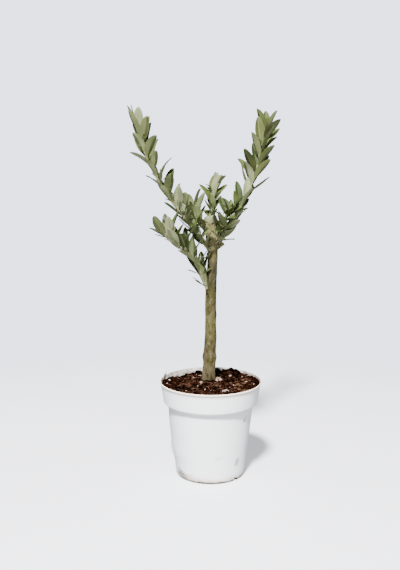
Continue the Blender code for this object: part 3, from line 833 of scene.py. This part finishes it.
def make_fibres(draw):
    fibres = Sheaf()
    steps = FIBRE_STEPS
    for k in range(FIBRES):
        x, y = on_soil(draw, 6.0)
        length = draw(*FIBRE_LENGTH) if k > LONGER_FIBRES else draw(*LONGER_LENGTH)
        heading = draw(0, math.tau)
        bend = draw(-0.16, 0.16)
        points = []
        for step in range(steps):
            points.append(Vector((x, y, crumbly(x, y) + 0.7 + 0.8 * math.sin(math.pi * step / steps))))
            x += math.cos(heading) * length / steps
            y += math.sin(heading) * length / steps
            heading += bend
        if math.hypot(x, y) > FIBRE_REACH or from_foot(x, y) < FIBRE_CLEAR:
            continue
        thick = draw(0.16, 0.3)
        radii = [thick * (0.5 if step in (0, steps - 1) else 1.0) for step in range(steps)]
        fibres.add(tube_rings(points, radii, 4), 0 if draw(0, 1) < 0.55 else 1)
    for start, end in LONG_FIBRES:
        spots = [Vector(start).lerp(Vector(end), step / 8) for step in range(9)]
        points = [Vector((spot.x, spot.y, crumbly(spot.x, spot.y) + 1.3)) for spot in spots]
        fibres.add(tube_rings(points, [0.2] + [0.36] * 7 + [0.2], 5), 0)
    for start, end in SHREDS:
        points = line_of(start, end, 6, 0.8)
        fibres.add(tube_rings(points, [0.3, 0.6, 0.8, 0.9, 0.8, 0.6, 0.2], 4), 2)
    tones = [plain_material(name, colour, roughness, scale=900, specular=specular)
             for name, colour, roughness, specular in FIBRE_TONES]
    dress(fibres.piece("soil_fibres", tones), "potting_soil")


def make_grains(draw):
    """Grains of perlite, the large ones gathered from five lumps."""
    grains = Sheaf()
    for x, y, size, kind in PERLITE:
        large = size >= 2
        for k in range(5 if large else 1):
            part = size * draw(0.4, 0.75) if large else size
            aside = 0.55 * size if large else 0.0
            drop(grains, x + draw(-aside, aside), y + draw(-aside, aside), part, 0.45,
                 x * 7 + y + k, kind if k % 3 else 1 - kind, 0.75, 0.6)
    for k in range(GRAINS):
        x, y = on_soil(draw)
        drop(grains, x, y, 0.5 + 0.9 * draw(0, 1) ** 2, 0.3, k + 500, 0 if k % 3 else 1)
    tones = [plain_material(*row, roughness=0.9, scale=700, specular=0.1) for row in GRAIN_TONES]
    dress(grains.piece("perlite", tones), "potting_soil")


def make_soil_litter():
    """Crumbs, fibres and grains lying on the soil, each kind a piece of its own."""
    draw = random.Random(17).uniform
    make_crumbs(draw)
    make_fibres(draw)
    make_grains(draw)


def dress_shaded(name, rings, shades, material, smooth_angle, slot, *nodes):
    """A tube dressed as a piece of its own, with a shade for each of its points."""
    tube = Sheaf()
    tube.add(rings)
    piece = tube.piece(name, [material], smooth_angle)
    set_shade(piece, shades)
    dress(piece, slot, *nodes)


def trunk_pushes(h, angle):
    """How far the bark stands out of its taper, in mm, and how pale it is."""
    x = math.sin(angle)
    y = -math.cos(angle)
    radius = read_table(TRUNK_TAPER, max(h, 0.0))
    lobes = 0.10 * math.exp(-max(h, 0.0) / 5.0) * math.cos(2 * angle + math.pi)
    head = clamp((h - HEAD_START) / HEAD_GROWTH)
    knobs = (0.025 + 0.05 * head) * math.sin(3 * angle + 0.09 * h) * math.sin(0.19 * h + 2 * angle)
    long_grain = noise_at(x * 2.6, y * 2.6, h * 0.035 + 7.0)
    grain = noise_at(x * 6.5, y * 6.5, h * 0.16)
    pits = noise_at(x * 9.0, y * 9.0, h * 0.9 + 20.0)
    scales = 1.0 - 2.0 * abs(noise_at(x * 3.4, y * 3.4, h * 0.33 + 40.0))
    blotch = noise_at(x * 1.7, y * 1.7, h * 0.085 + 60.0)
    push = radius * (lobes + knobs) + (0.32 * long_grain + 0.24 * grain + (0.12 + 0.22 * head) * pits
                                       + (0.1 + 0.55 * head) * scales)
    shade = (0.5 + 0.34 * grain + 0.42 * pits + (0.1 + 0.15 * head) * scales + 0.12 * long_grain
             + 0.5 * blotch)
    for mark_h, mark_angle, tall, wide, rise, tone in TRUNK_MARKS:
        off = (math.degrees(angle) - mark_angle + 180) % 360 - 180
        away = ((h - mark_h) / tall) ** 2 + (math.radians(off) * radius / wide) ** 2
        if away < 9:
            weight = math.exp(-away)
            push += rise * weight
            shade += tone * weight
    return push, shade


def make_trunk():
    route = Route(TRUNK_LINE)
    count = round(route.length / TRUNK_RING_STEP)
    heights = [route.length * k / count for k in range(count + 1)]
    centres = [route.at(h) for h in heights]
    centres = [centres[0] + UP * h for h in UNDER_SOIL] + centres
    heights = [*UNDER_SOIL, *heights]
    radii = [read_table(TRUNK_TAPER, max(h, 0.0)) for h in heights]
    shades = []

    def swell(k, angle):
        push, shade = trunk_pushes(heights[k], angle)
        shades.append(clamp(shade))
        return 1.0 + push / radii[k]

    dress_shaded("trunk_bark", tube_rings(centres, radii, TRUNK_SIDES, swell), shades,
                 bark_material(), 75, "bark", "trunk")


def knotted(centres, radii, sides, seed, push):
    """A tube with an uneven skin. Gives its rings and a shade for each point."""
    shades = []

    def swell(k, angle):
        value = noise_at(math.sin(angle) * 1.5 + seed, math.cos(angle) * 1.5, k * 0.45)
        fine = noise_at(math.sin(angle) * 5.0 + seed, math.cos(angle) * 5.0, k * 1.3)
        shades.append(clamp(0.5 + 0.3 * value + 0.3 * fine))
        return 1.0 + push * value + 0.5 * push * fine

    return tube_rings(centres, radii, sides, swell), shades


def line_of(start, end, count, sag=0.0):
    start = Vector(start)
    end = Vector(end)
    return [start.lerp(end, k / count) - UP * sag * math.sin(math.pi * k / count) for k in range(count + 1)]


def make_stubs():
    """The stub of a pruned shoot, and its dried stalk with a dark end."""
    thick, thin = STUB_RADIUS
    radii = [thick + (thin - thick) * k / STUB_STEPS for k in range(STUB_STEPS + 1)]
    radii[-1] *= 0.86
    centres = line_of(STUB_START, STUB_END, STUB_STEPS)
    rings, shades = knotted(centres, radii, STUB_SIDES, seed=3.0, push=0.16)
    dress_shaded("pruned_stub", rings, shades, bark_material(), 70, "bark")

    radii = [0.95 - 0.25 * k / STALK_STEPS for k in range(STALK_STEPS + 1)]
    radii[-3:] = [0.9, 1.1, 0.6]
    centres = line_of(STALK_START, STALK_END, STALK_STEPS, sag=-0.8)
    rings, shades = knotted(centres, radii, STALK_SIDES, seed=8.0, push=0.15)
    dark_from = STALK_SIDES * STALK_DARK_FROM
    shades = [shade * (0.1 if k > dark_from else 1.0) for k, shade in enumerate(shades)]
    dress_shaded("dry_stalk", rings, shades, dry_material(), 70, "bark")


def make_cap():
    """The paste that seals the cut head, with a ragged lower edge."""
    top = Vector(TRUNK_LINE[-1])
    rings = []
    for k, (radius, rise) in enumerate(CAP_PROFILE):
        on_side = k < CAP_SIDE_RINGS
        ring = []
        for j in range(CAP_SIDES):
            angle = math.tau * j / CAP_SIDES
            aside = Vector((math.sin(angle), -math.cos(angle), 0.0))
            ragged = noise.noise(aside * 1.7 + Vector((0, 0, 0.5 * k)))
            fine = noise.noise(aside * 5.0 + Vector((3, 0, 1.1 * k)))
            wide = radius * (1.0 + 0.09 * ragged + 0.06 * fine)
            uneven = 3.5 * ragged - 0.8 if on_side else 0.9 * fine + 0.5 * ragged
            slant = 0.0 if on_side else 0.16 * radius * aside.x
            ring.append(top + aside * wide + UP * (rise + uneven + slant))
        rings.append(ring)
    cap = Sheaf()
    cap.add(rings + [[top + UP * (CAP_PROFILE[-1][1] + 0.2)]])
    dress(cap.piece("sealed_cut", [paste_material()], 75), "bark")


def heel_of(shoot):
    """The point on the trunk's centre line that the shoot springs from."""
    start = Vector(shoot["route"][0])
    route = Route(TRUNK_LINE)
    return min(route.points, key=lambda point: abs(point.z - (start.z - 3.0)))


def stem_radius(shoot, share):
    thick, thin = shoot["stem"]
    return thick + (thin - thick) * share ** 0.8


def stem_rings(shoot, start, end, nodes):
    """A stretch of stem that thickens at each pair of leaves and where it leaves the trunk."""
    route = Route(shoot["route"])
    count = max(2, math.ceil((end - start) / STEM_STEP))
    places = [start + (end - start) * k / count for k in range(count + 1)]
    centres = [route.at(place) for place in places]
    radii = []
    for place in places:
        swollen = sum(math.exp(-((place - node + 0.6) / 1.1) ** 2) for node in nodes)
        collar = 0.75 * math.exp(-place / 4.0)
        radii.append(stem_radius(shoot, place / route.length) * (1.0 + 0.26 * min(1.0, swollen) + collar))
    if start == 0:
        centres.insert(0, heel_of(shoot))
        radii.insert(0, radii[0] * 1.1)
    if end >= route.length:
        radii[-1] *= 0.5
    return knotted(centres, radii, STEM_SIDES, seed=start + shoot["phase"], push=0.06)


def half_width(u):
    """Half the width of an olive leaf along its length, as a share of the widest place."""
    return math.sin(math.pi * u ** 1.12) ** (0.85 - 0.3 * u) if 0.0 < u < 1.0 else 0.0


def shoot_leaves(shoot):
    """The seeded rule: where each leaf of the shoot starts, and how it stands."""
    route = Route(shoot["route"])
    pairs = shoot["pairs"]
    seeds = shoot["seeds"]
    stretch = None
    leaves = []
    for i in range(pairs):
        if i * len(seeds) // pairs != stretch:
            stretch = i * len(seeds) // pairs
            draw = random.Random(seeds[stretch]).uniform
        share = i / (pairs - 1)
        place = shoot["first"] + (shoot["last"] - shoot["first"]) * share * (1.25 - 0.25 * share)
        place = min(place + draw(-2.0, 2.0), route.length - TIP_ROOM)
        aim = ((1 - shoot["lift"]) * route.direction(place) + shoot["lift"] * UP).normalized()
        front, side = square_to(aim)
        turn = shoot["phase"] + 90 * i + draw(-18, 18)
        opening = shoot["open"] + (shoot["closed"] - shoot["open"]) * share
        size = min(1.0, shoot["small"] + (1 - shoot["small"]) * 2.5 * share)
        for half in (0, 180):
            azimuth = math.radians(turn + half + draw(-12, 12))
            out = math.cos(azimuth) * front + math.sin(azimuth) * side
            spread = math.radians(opening + draw(-13, 13))
            bend = math.radians(draw(-16, 24))
            roll = math.radians(draw(-30, 30))
            length = shoot["length"] * size * draw(0.84, 1.16)
            width = shoot["width"] * length * draw(0.88, 1.12)
            leaves.append({"base": route.at(place), "aim": aim, "out": out, "spread": spread, "bend": bend,
                           "roll": roll, "length": length, "width": width, "place": place,
                           "stem": stem_radius(shoot, place / route.length)})
    return leaves


def leaf_frame(leaf, u):
    """Point on the midrib, direction across the blade and direction out of its upper face."""
    aim = leaf["aim"]
    out = leaf["out"]
    steps = max(1, round(u * BEND_STEPS))
    point = leaf["base"].copy()
    for k in range(steps):
        angle = leaf["spread"] + leaf["bend"] * u * (k + 0.5) / steps
        point += (math.cos(angle) * aim + math.sin(angle) * out) * leaf["length"] * u / steps
    angle = leaf["spread"] + leaf["bend"] * u
    upper = math.sin(angle) * aim - math.cos(angle) * out
    beside = aim.cross(out)
    roll = leaf["roll"]
    across = math.cos(roll) * beside + math.sin(roll) * upper
    return point, across, math.cos(roll) * upper - math.sin(roll) * beside


def turned(leaf, nudge):
    """The leaf turned round its stem and away from it."""
    around, away = (math.radians(value) for value in nudge)
    out = math.cos(around) * leaf["out"] + math.sin(around) * leaf["aim"].cross(leaf["out"])
    return {**leaf, "out": out, "spread": leaf["spread"] + away}


def standing_leaf(leaf, solid):
    """The leaf in the place where the mass holds it, or None where the mass has left it out."""
    nearest = MATCH_WITHIN * MM
    found = None
    for nudge in NUDGES:
        tried = turned(leaf, nudge)
        away = max(solid.find_nearest(leaf_frame(tried, u)[0] * MM)[3] for u in MATCH_AT)
        if away < nearest:
            nearest = away
            found = tried
    return found


def add_leaf(leaves, leaf, tones, draw):
    """One blade with a sunken midrib above, a raised one below and slightly rolled margins."""
    above, below = tones
    fold = draw(0.30, 0.70)
    sickle = draw(-0.035, 0.035) * leaf["length"]
    ripple = draw(0, math.tau)
    thin = min(1.0, leaf["length"] / 20.0)
    petiole = PETIOLE_HALF_WIDTH * thin
    rings = []
    kinds = []
    for u in LEAF_STATIONS[:-1]:
        point, across, upper = leaf_frame(leaf, u)
        half = max(petiole, 0.5 * leaf["width"] * half_width(u))
        point = point + across * sickle * math.sin(math.pi * u)
        blade = clamp((half - petiole) / 1.5)
        ring = []
        for s in UPPER_POINTS:
            side = abs(s)
            lift = fold * side - ROLL_BACK * max(0.0, side - 0.6) / 0.4
            lift += RIPPLE * math.sin(9 * u + ripple + s)
            groove = GROOVE * thin if side < 0.2 else 0.0
            round_off = (1.0 - blade) * petiole * (1.0 - side) * 0.9
            ring.append(point + across * half * s + upper * (blade * (lift * half - groove) + round_off))
        for s in LOWER_POINTS:
            side = abs(s)
            lift = fold * side + RIPPLE * math.sin(9 * u + ripple + s)
            ridge = RIDGE * thin if side < 0.2 else 0.0
            depth = blade * (lift * half - THICKNESS * thin - ridge) - (1.0 - blade) * petiole * 0.9
            ring.append(point + across * half * s + upper * depth)
        rings.append(ring)
        if blade < 0.3:
            kinds.append([STALK] * len(ring))
        else:
            kinds.append([above, above, above + 1, above, above, below, below, STALK, below, below])
    rings.append([leaf_frame(leaf, 1.0)[0]])
    leaves.add(rings, STALK, kinds)


def add_bud(twigs, centre, aim, size):
    """A pointed bud in the corner between a leaf and its stem."""
    front, side = square_to(aim)
    rings = [[centre - aim * size]]
    for along, wide in ((-0.4, 0.55), (0.3, 0.6), (0.9, 0.32)):
        rings.append([centre + aim * size * along
                      + size * wide * (math.cos(a) * front + math.sin(a) * side)
                      for a in (math.tau * j / 6 for j in range(6))])
    rings.append([centre + aim * size * 1.4])
    twigs.add(rings)


def pick(draw, weights):
    """A kind chosen by weight."""
    left = draw(0, sum(weight for _, weight in weights))
    for kind, weight in weights:
        left -= weight
        if left <= 0:
            return kind
    return weights[-1][0]


def pick_tones(draw, shoot):
    uppers, lowers = shoot["tones"]
    return pick(draw, uppers), pick(draw, lowers)


def add_corner(twigs, leaves, shoot, leaf, tones, draw):
    """A bud in the leaf's corner, or a short sprig with a pair of small leaves."""
    axil = leaf["base"] + leaf["out"] * leaf["stem"] + leaf["aim"] * 1.3
    lean = (leaf["aim"] + leaf["out"] * 0.6).normalized()
    if draw(0, 1) > shoot["sprigs"]:
        add_bud(twigs, axil, lean, draw(0.7, 1.1))
        return
    tip = axil + lean * draw(2.5, 6.0)
    twigs.add(tube_rings([axil - lean, axil.lerp(tip, 0.5), tip], [0.6, 0.5, 0.35], 6))
    side = lean.cross(leaf["aim"].cross(leaf["out"])).normalized()
    for out in (side, -side):
        length = draw(*shoot["sprig"])
        small = {"base": tip - lean * 0.5, "aim": lean, "out": out, "bend": draw(-0.3, 0.2),
                 "spread": draw(0.25, 0.65), "roll": draw(-0.4, 0.4),
                 "length": length, "width": 0.3 * length}
        if shoot.get("varied"):
            tones = pick_tones(draw, shoot)
        add_leaf(leaves, small, tones, draw)


def add_tip_leaves(leaves, shoot, draw):
    """Two pairs of young leaves round the end of the shoot."""
    route = Route(shoot["route"])
    aim = route.direction(route.length)
    front, side = square_to(aim)
    for share, turn in ((1.0, 40), (1.0, 220), (0.55, 130), (0.55, 310)):
        vivid = shoot.get("vivid") and share < 1
        length = (0.75 if vivid else share) * shoot["tip"]
        azimuth = math.radians(turn + shoot["phase"])
        small = {"base": route.at(route.length) - aim * 0.8, "aim": aim, "bend": draw(-0.2, 0.2),
                 "out": math.cos(azimuth) * front + math.sin(azimuth) * side,
                 "spread": draw(0.16, 0.32), "roll": draw(-0.2, 0.2), "length": length,
                 "width": (0.42 if vivid else 0.27) * length}
        add_leaf(leaves, small, (YOUNG, YOUNG) if vivid else pick_tones(draw, shoot), draw)


def make_shoots():
    """Boughs, stems, buds and leaves, grown from the limbs by the seeded rule."""
    boughs = Sheaf()
    twigs = Sheaf()
    leaves = Sheaf()
    bough_shades = []
    draw = random.Random(5).uniform
    for name, shoot in SHOOTS.items():
        grown = shoot_leaves(shoot)
        nodes = sorted({leaf["place"] for leaf in grown})
        bare = shoot["bare"]
        if bare:
            rings, shades = stem_rings(shoot, 0, bare + 0.5, nodes)
            boughs.add(rings)
            bough_shades += shades
        rings, _ = stem_rings(shoot, bare, Route(shoot["route"]).length, nodes)
        twigs.add(rings)
        mesh = bmesh.new()
        mesh.from_mesh(frame["nodes"][name + "_foliage"].data)
        solid = BVHTree.FromBMesh(mesh)
        mesh.free()
        for leaf in filter(None, (standing_leaf(leaf, solid) for leaf in grown)):
            tones = pick_tones(draw, shoot)
            leaf["width"] *= shoot.get("slim", 1.0)
            add_leaf(leaves, leaf, tones, draw)
            add_corner(twigs, leaves, shoot, leaf, tones, draw)
        add_tip_leaves(leaves, shoot, draw)
    piece = boughs.piece("bough_bark", [stem_material()], 70)
    set_shade(piece, bough_shades)
    dress(piece, "young_stem", "left_bough", "right_bough")
    tone = plain_material("young_stem", (0.14, 0.14, 0.067), roughness=0.6, scale=1400)
    dress(twigs.piece("twigs", [tone], 70), "young_stem")
    tones = [leaf_material(*row) for row in LEAF_TONES]
    dress(leaves.piece("leaves", tones, 55), "leaves", *(name + "_foliage" for name in SHOOTS))


def plain_material(name, colour, roughness, scale, specular=0.3):
    """A plain colour with a fine uneven skin, for pieces that gather many small shapes."""
    paint = Paint(name, specular)
    fine = paint.noise(scale, 3.0)
    return paint.finish(colour, fine, roughness - 0.08, roughness + 0.08, fine, 0.5, 0.0004)


def leaf_material(name, colour, gloss):
    """A leathery blade: a plain colour and a fine grain."""
    paint = Paint(name, 0.2)
    grain = paint.noise(1500, 3.0)
    return paint.finish(colour, grain, gloss - 0.07, gloss + 0.09, grain, 0.35, 0.00025)


def mottled(name, specular, texture, stops, roughness, relief):
    """Colours that follow one noise, which also sets the roughness and the bumps."""
    paint = Paint(name, specular)
    mottles = paint.noise(*texture)
    return paint.finish(paint.ramp(mottles, *stops), mottles, *roughness, mottles, *relief)


def pot_plastic():
    """White moulded plastic, faintly clouded, with a soiled foot, a few scuffs, painted shade and painted
    light.
    """
    paint = Paint("white_plastic", 0.45)
    z = paint.along("Z")
    colour = paint.ramp(paint.noise(9, 3.0), (0.3, (0.835, 0.872, 0.905)), (0.7, (0.865, 0.895, 0.92)))
    streaks = paint.noise((60, 60, 6), 5.0, 0.65)
    colour = paint.coat(colour, (0.70, 0.69, 0.67), streaks, 0.52, 0.75, 0.0, 0.22)
    foot = paint.maths("MULTIPLY_ADD", paint.noise(55, 4.0, 0.7), 0.016, z)
    colour = paint.coat(colour, (0.50, 0.40, 0.29), foot, 0.0085, 0.0200, 0.95, 0.0)
    # Painted shadow: a dark line round the bottom of the foot, where the pot stands on the floor.
    edge = paint.maths("MULTIPLY_ADD", paint.noise(90, 3.0), 0.006, z)
    colour = paint.coat(colour, (0.06, 0.05, 0.042), edge, 0.0048, 0.0068, 1.0, 0.0)
    # Painted shade: the left side of the pot is darker and bluer.
    colour = paint.coat(colour, (0.50, 0.545, 0.575), paint.along("X"), -0.034, -0.058, 0.0, 0.5)
    # Painted light: the band is brighter and bluer than the body.
    colour = paint.coat(colour, (0.93, 0.965, 0.99), z, 0.1095, 0.1110, 0.0, 0.6)
    # Painted shade: the top of the band is darker just under the lip.
    colour = paint.coat(colour, (0.56, 0.50, 0.42), z, 0.1338, 0.1374, 0.0, 0.55)
    # Painted shade: the body is greyer in a strip just under the band's step.
    gathered = paint.maths("MULTIPLY", paint.spread(z, 0.1010, 0.1050, 0.0, 0.30),
                           paint.spread(z, 0.1085, 0.1100, 1.0, 0.0))
    colour = paint.mix(gathered, colour, (0.36, 0.37, 0.39))
    for spot, radius, tone, strength in POT_MARKS:
        reach = radius * MM
        away = paint.add("ShaderNodeVectorMath", {0: paint.place, 1: [value * MM for value in spot]})
        away.operation = "DISTANCE"
        ragged = paint.maths("MULTIPLY_ADD", paint.noise(260, 3.0), reach, away.outputs["Value"])
        colour = paint.coat(colour, tone, ragged, reach * 0.5, reach * 1.5, strength, 0.0)
    return paint.finish(colour, streaks, 0.36, 0.5, paint.noise(420, 3.0), 0.12, 0.0003)


def rim_plastic():
    paint = Paint("rim_plastic", 0.45)
    dust = paint.noise(70, 5.0, 0.7)
    colour = paint.ramp(dust, (0.36, (0.93, 0.81, 0.70)), (0.56, (0.81, 0.67, 0.54)),
                        (0.74, (0.44, 0.31, 0.22)))
    colour = paint.mix(paint.spread(paint.along("Z"), 0.1388, 0.1396), (0.74, 0.68, 0.62), colour)
    return paint.finish(colour, dust, 0.4, 0.65, dust, 0.15, 0.0004, 0.8)


def inner_plastic():
    """The inside of the wall, with soil splashed up it, higher on the right."""
    paint = Paint("inner_plastic", 0.4)
    splash = paint.noise(110, 6.0, 0.7)
    level = paint.maths("MULTIPLY_ADD", splash, -0.022, paint.along("Z"))
    level = paint.maths("MULTIPLY_ADD", paint.along("X"), -0.05, level)
    colour = paint.ramp(paint.noise(85, 5.0, 0.7), (0.38, (0.27, 0.24, 0.205)), (0.6, (0.55, 0.505, 0.46)))
    flecks = paint.noise((260, 260, 420), 3.0, 0.6)
    colour = paint.coat(colour, (0.09, 0.070, 0.055), flecks, 0.54, 0.64, 0.0, 0.8)
    colour = paint.coat(colour, (0.06, 0.034, 0.022), level, 0.1205, 0.1290, 0.9, 0.0)
    return paint.finish(colour, splash, 0.42, 0.7, splash, 0.25, 0.0005)


def slot_painted_shade():
    """The mottled, nearly black sides of the drain slots: painted shade inside the slots."""
    stops = (0.35, (0.006, 0.005, 0.004)), (0.65, (0.025, 0.020, 0.016))
    return mottled("slot_painted_shade", 0.1, (300, 4.0), stops, (0.7, 0.95), (0.3, 0.0004))


def under_plastic():
    stops = (0.35, (0.76, 0.75, 0.73)), (0.65, (0.52, 0.46, 0.40))
    return mottled("under_plastic", 0.4, (45, 5.0, 0.7), stops, (0.45, 0.7), (0.3, 0.0005))


def soil_material():
    """Moist peat, red-brown in some places and nearly black in others."""
    paint = Paint("potting_soil", 0.0)
    clods = paint.noise(210, 5.0, 0.7)
    colour = paint.ramp(clods, (0.36, (0.0012, 0.0006, 0.0004)), (0.5, (0.0058, 0.0018, 0.0008)),
                        (0.66, (0.023, 0.0078, 0.0036)))
    dark = paint.mix(0.75, colour, (0.003, 0.0016, 0.0010))
    colour = paint.coat(colour, dark, paint.noise(30, 3.0), 0.42, 0.62)
    return paint.finish(colour, clods, 0.8, 1.0, clods, 0.8, 0.0012)


def bark_material():
    """Grey-brown bark, mossy mid-stem, dark in its hollows, with painted leaf shade higher up and a painted
    lit head.
    """
    paint = Paint("bark", 0.12)
    height = paint.spread(paint.along("Z"), 0.1368, 0.378)
    patches = paint.noise((150, 150, 100), 4.0, 0.6)
    moss = paint.noise((90, 90, 34), 3.0, 0.6)
    mottles = paint.noise((330, 330, 170), 3.0, 0.6)
    shade = paint.shade()
    colour = paint.ramp(height, *BARK_COLOURS)
    colour = paint.coat(colour, (0.070, 0.058, 0.030), patches, 0.44, 0.62, 0.0, 0.7)
    colour = paint.coat(colour, (0.050, 0.050, 0.009), moss, 0.50, 0.64, 0.0, 0.75)
    colour = paint.coat(colour, (0.026, 0.019, 0.009), mottles, 0.54, 0.66, 0.0, 0.55)
    colour = paint.coat(colour, paint.mix(0.9, colour, (0.012, 0.007, 0.003)), shade, 0.42, 0.08)
    colour = paint.coat(colour, paint.mix(0.55, colour, (0.125, 0.112, 0.070)), shade, 0.62, 0.95)
    colour = paint.coat(colour, (0.027, 0.020, 0.011), paint.noise(900, 2.0), 0.60, 0.75, 0.0, 0.35)
    colour = paint.coat(colour, (0.155, 0.135, 0.064), height, 0.77, 0.85, 0.0, 0.48)
    # Painted shade of the leaves over the upper stem.
    painted_leaf_shade = paint.ramp(height, *BARK_LEAF_SHADE)
    colour = paint.mix(1.0, colour, painted_leaf_shade, "MULTIPLY")
    grain = paint.noise((700, 700, 260), 5.0, 0.65)
    return paint.finish(colour, patches, 0.78, 0.95, grain, 0.6, 0.0005)


def dry_material():
    paint = Paint("dry_stalk", 0.3)
    colour = paint.ramp(paint.shade(), (0.08, (0.008, 0.007, 0.006)), (0.3, (0.020, 0.018, 0.016)),
                        (0.8, (0.045, 0.040, 0.034)))
    grain = paint.noise(900, 3.0)
    return paint.finish(colour, grain, 0.7, 0.9, grain, 0.5, 0.0003)


def paste_material():
    """Dried sealing paste, pale grey-green and flaking."""
    stops = ((0.32, (0.086, 0.090, 0.040)), (0.48, (0.126, 0.142, 0.066)), (0.68, (0.155, 0.175, 0.086)))
    return mottled("sealing_paste", 0.3, (260, 5.0, 0.7), stops, (0.7, 0.9), (0.7, 0.0008))


def stem_material():
    paint = Paint("bough_bark", 0.35)
    streaks = paint.noise((300, 300, 90), 4.0, 0.6)
    colour = paint.ramp(streaks, (0.3, (0.099, 0.096, 0.042)), (0.5, (0.14, 0.14, 0.067)),
                        (0.7, (0.18, 0.18, 0.10)))
    colour = paint.coat(colour, (0.054, 0.048, 0.021), paint.shade(), 0.4, 0.15, 0.0, 0.7)
    return paint.finish(colour, streaks, 0.58, 0.75, streaks, 0.4, 0.0004)


def by_sight(nodes, cast, seen):
    """One strength for the rays that light the scene and another for those that the camera sees."""
    path = nodes.add("ShaderNodeLightPath", {})
    return nodes.spread(path.outputs["Is Camera Ray"], 0.0, 1.0, cast, seen)


def floor_material():
    """A pale matt floor that throws little light back and fades into the surroundings."""
    paint = Paint("floor", 0.1)
    seen = paint.ramp(paint.noise(2.5, 4.0), (0.35, FLOOR_DARK), (0.65, FLOOR_PALE))
    looks = {
        "Base Color": paint.mix(by_sight(paint, 0.0, 1.0), FLOOR_BOUNCE, seen),
        "Roughness": 0.9,
        "Emission Color": GLOW,
        "Emission Strength": by_sight(paint, 0.0, FLOOR_GLOW),
    }
    for name, value in looks.items():
        paint.fill(paint.shader.inputs[name], value)
    away = paint.add("ShaderNodeVectorMath", {0: paint.place})
    away.operation = "LENGTH"
    fade = paint.add("ShaderNodeMapRange", {
        "Value": away.outputs["Value"], "From Min": FLOOR_FADE[0], "From Max": FLOOR_FADE[1],
    })
    fade.interpolation_type = "SMOOTHSTEP"
    glow = paint.add("ShaderNodeEmission", {
        "Color": SURROUNDINGS, "Strength": by_sight(paint, CAST_LIGHT, SEEN_LIGHT),
    })
    mix = paint.add("ShaderNodeMixShader", {
        0: fade.outputs["Result"], 1: paint.shader.outputs["BSDF"], 2: glow.outputs["Emission"],
    })
    paint.fill(paint.tree.nodes["Material Output"].inputs["Surface"], mix.outputs["Shader"])
    return paint.material


def make_studio():
    """A pale floor in pale surroundings, soft lights and the camera."""
    scene = bpy.context.scene
    floor = Sheaf()
    floor.add([[Vector((0, 0, 0))]] + [circle(radius, 0.0, FLOOR_SIDES) for radius in FLOOR_RINGS])
    floor.faces.pop()
    floor.kinds.pop()
    floor.piece("floor", [floor_material()], 180)

    world = bpy.data.worlds.new("studio")
    scene.world = world
    world.use_nodes = True
    nodes = Nodes(world.node_tree)
    background = world.node_tree.nodes["Background"]
    nodes.fill(background.inputs["Color"], SURROUNDINGS)
    nodes.fill(background.inputs["Strength"], by_sight(nodes, CAST_LIGHT, SEEN_LIGHT))
    for name, place, size, energy, colour in LIGHTS:
        data = bpy.data.lights.new(name, "AREA")
        data.shape = "DISK"
        data.size = size
        data.energy = energy
        data.color = colour
        lamp = bpy.data.objects.new(name, data)
        lamp.location = place
        lamp.rotation_euler = (Vector(LIGHT_TARGET) - lamp.location).to_track_quat("-Z", "Y").to_euler()
        lamp.visible_camera = False
        scene.collection.objects.link(lamp)

    data = bpy.data.cameras.new("camera")
    data.lens = LENS
    data.sensor_width = SENSOR
    data.clip_start = 0.02
    camera = bpy.data.objects.new("camera", data)
    camera.location = CAMERA_PLACE
    camera.rotation_euler = (math.radians(90 - CAMERA_PITCH), 0.0, math.radians(CAMERA_TURN))
    scene.collection.objects.link(camera)
    scene.camera = camera


make_studio()
make_pot()
make_soil()
make_soil_litter()
make_trunk()
make_stubs()
make_cap()
make_shoots()

bpy.context.view_layer.update()
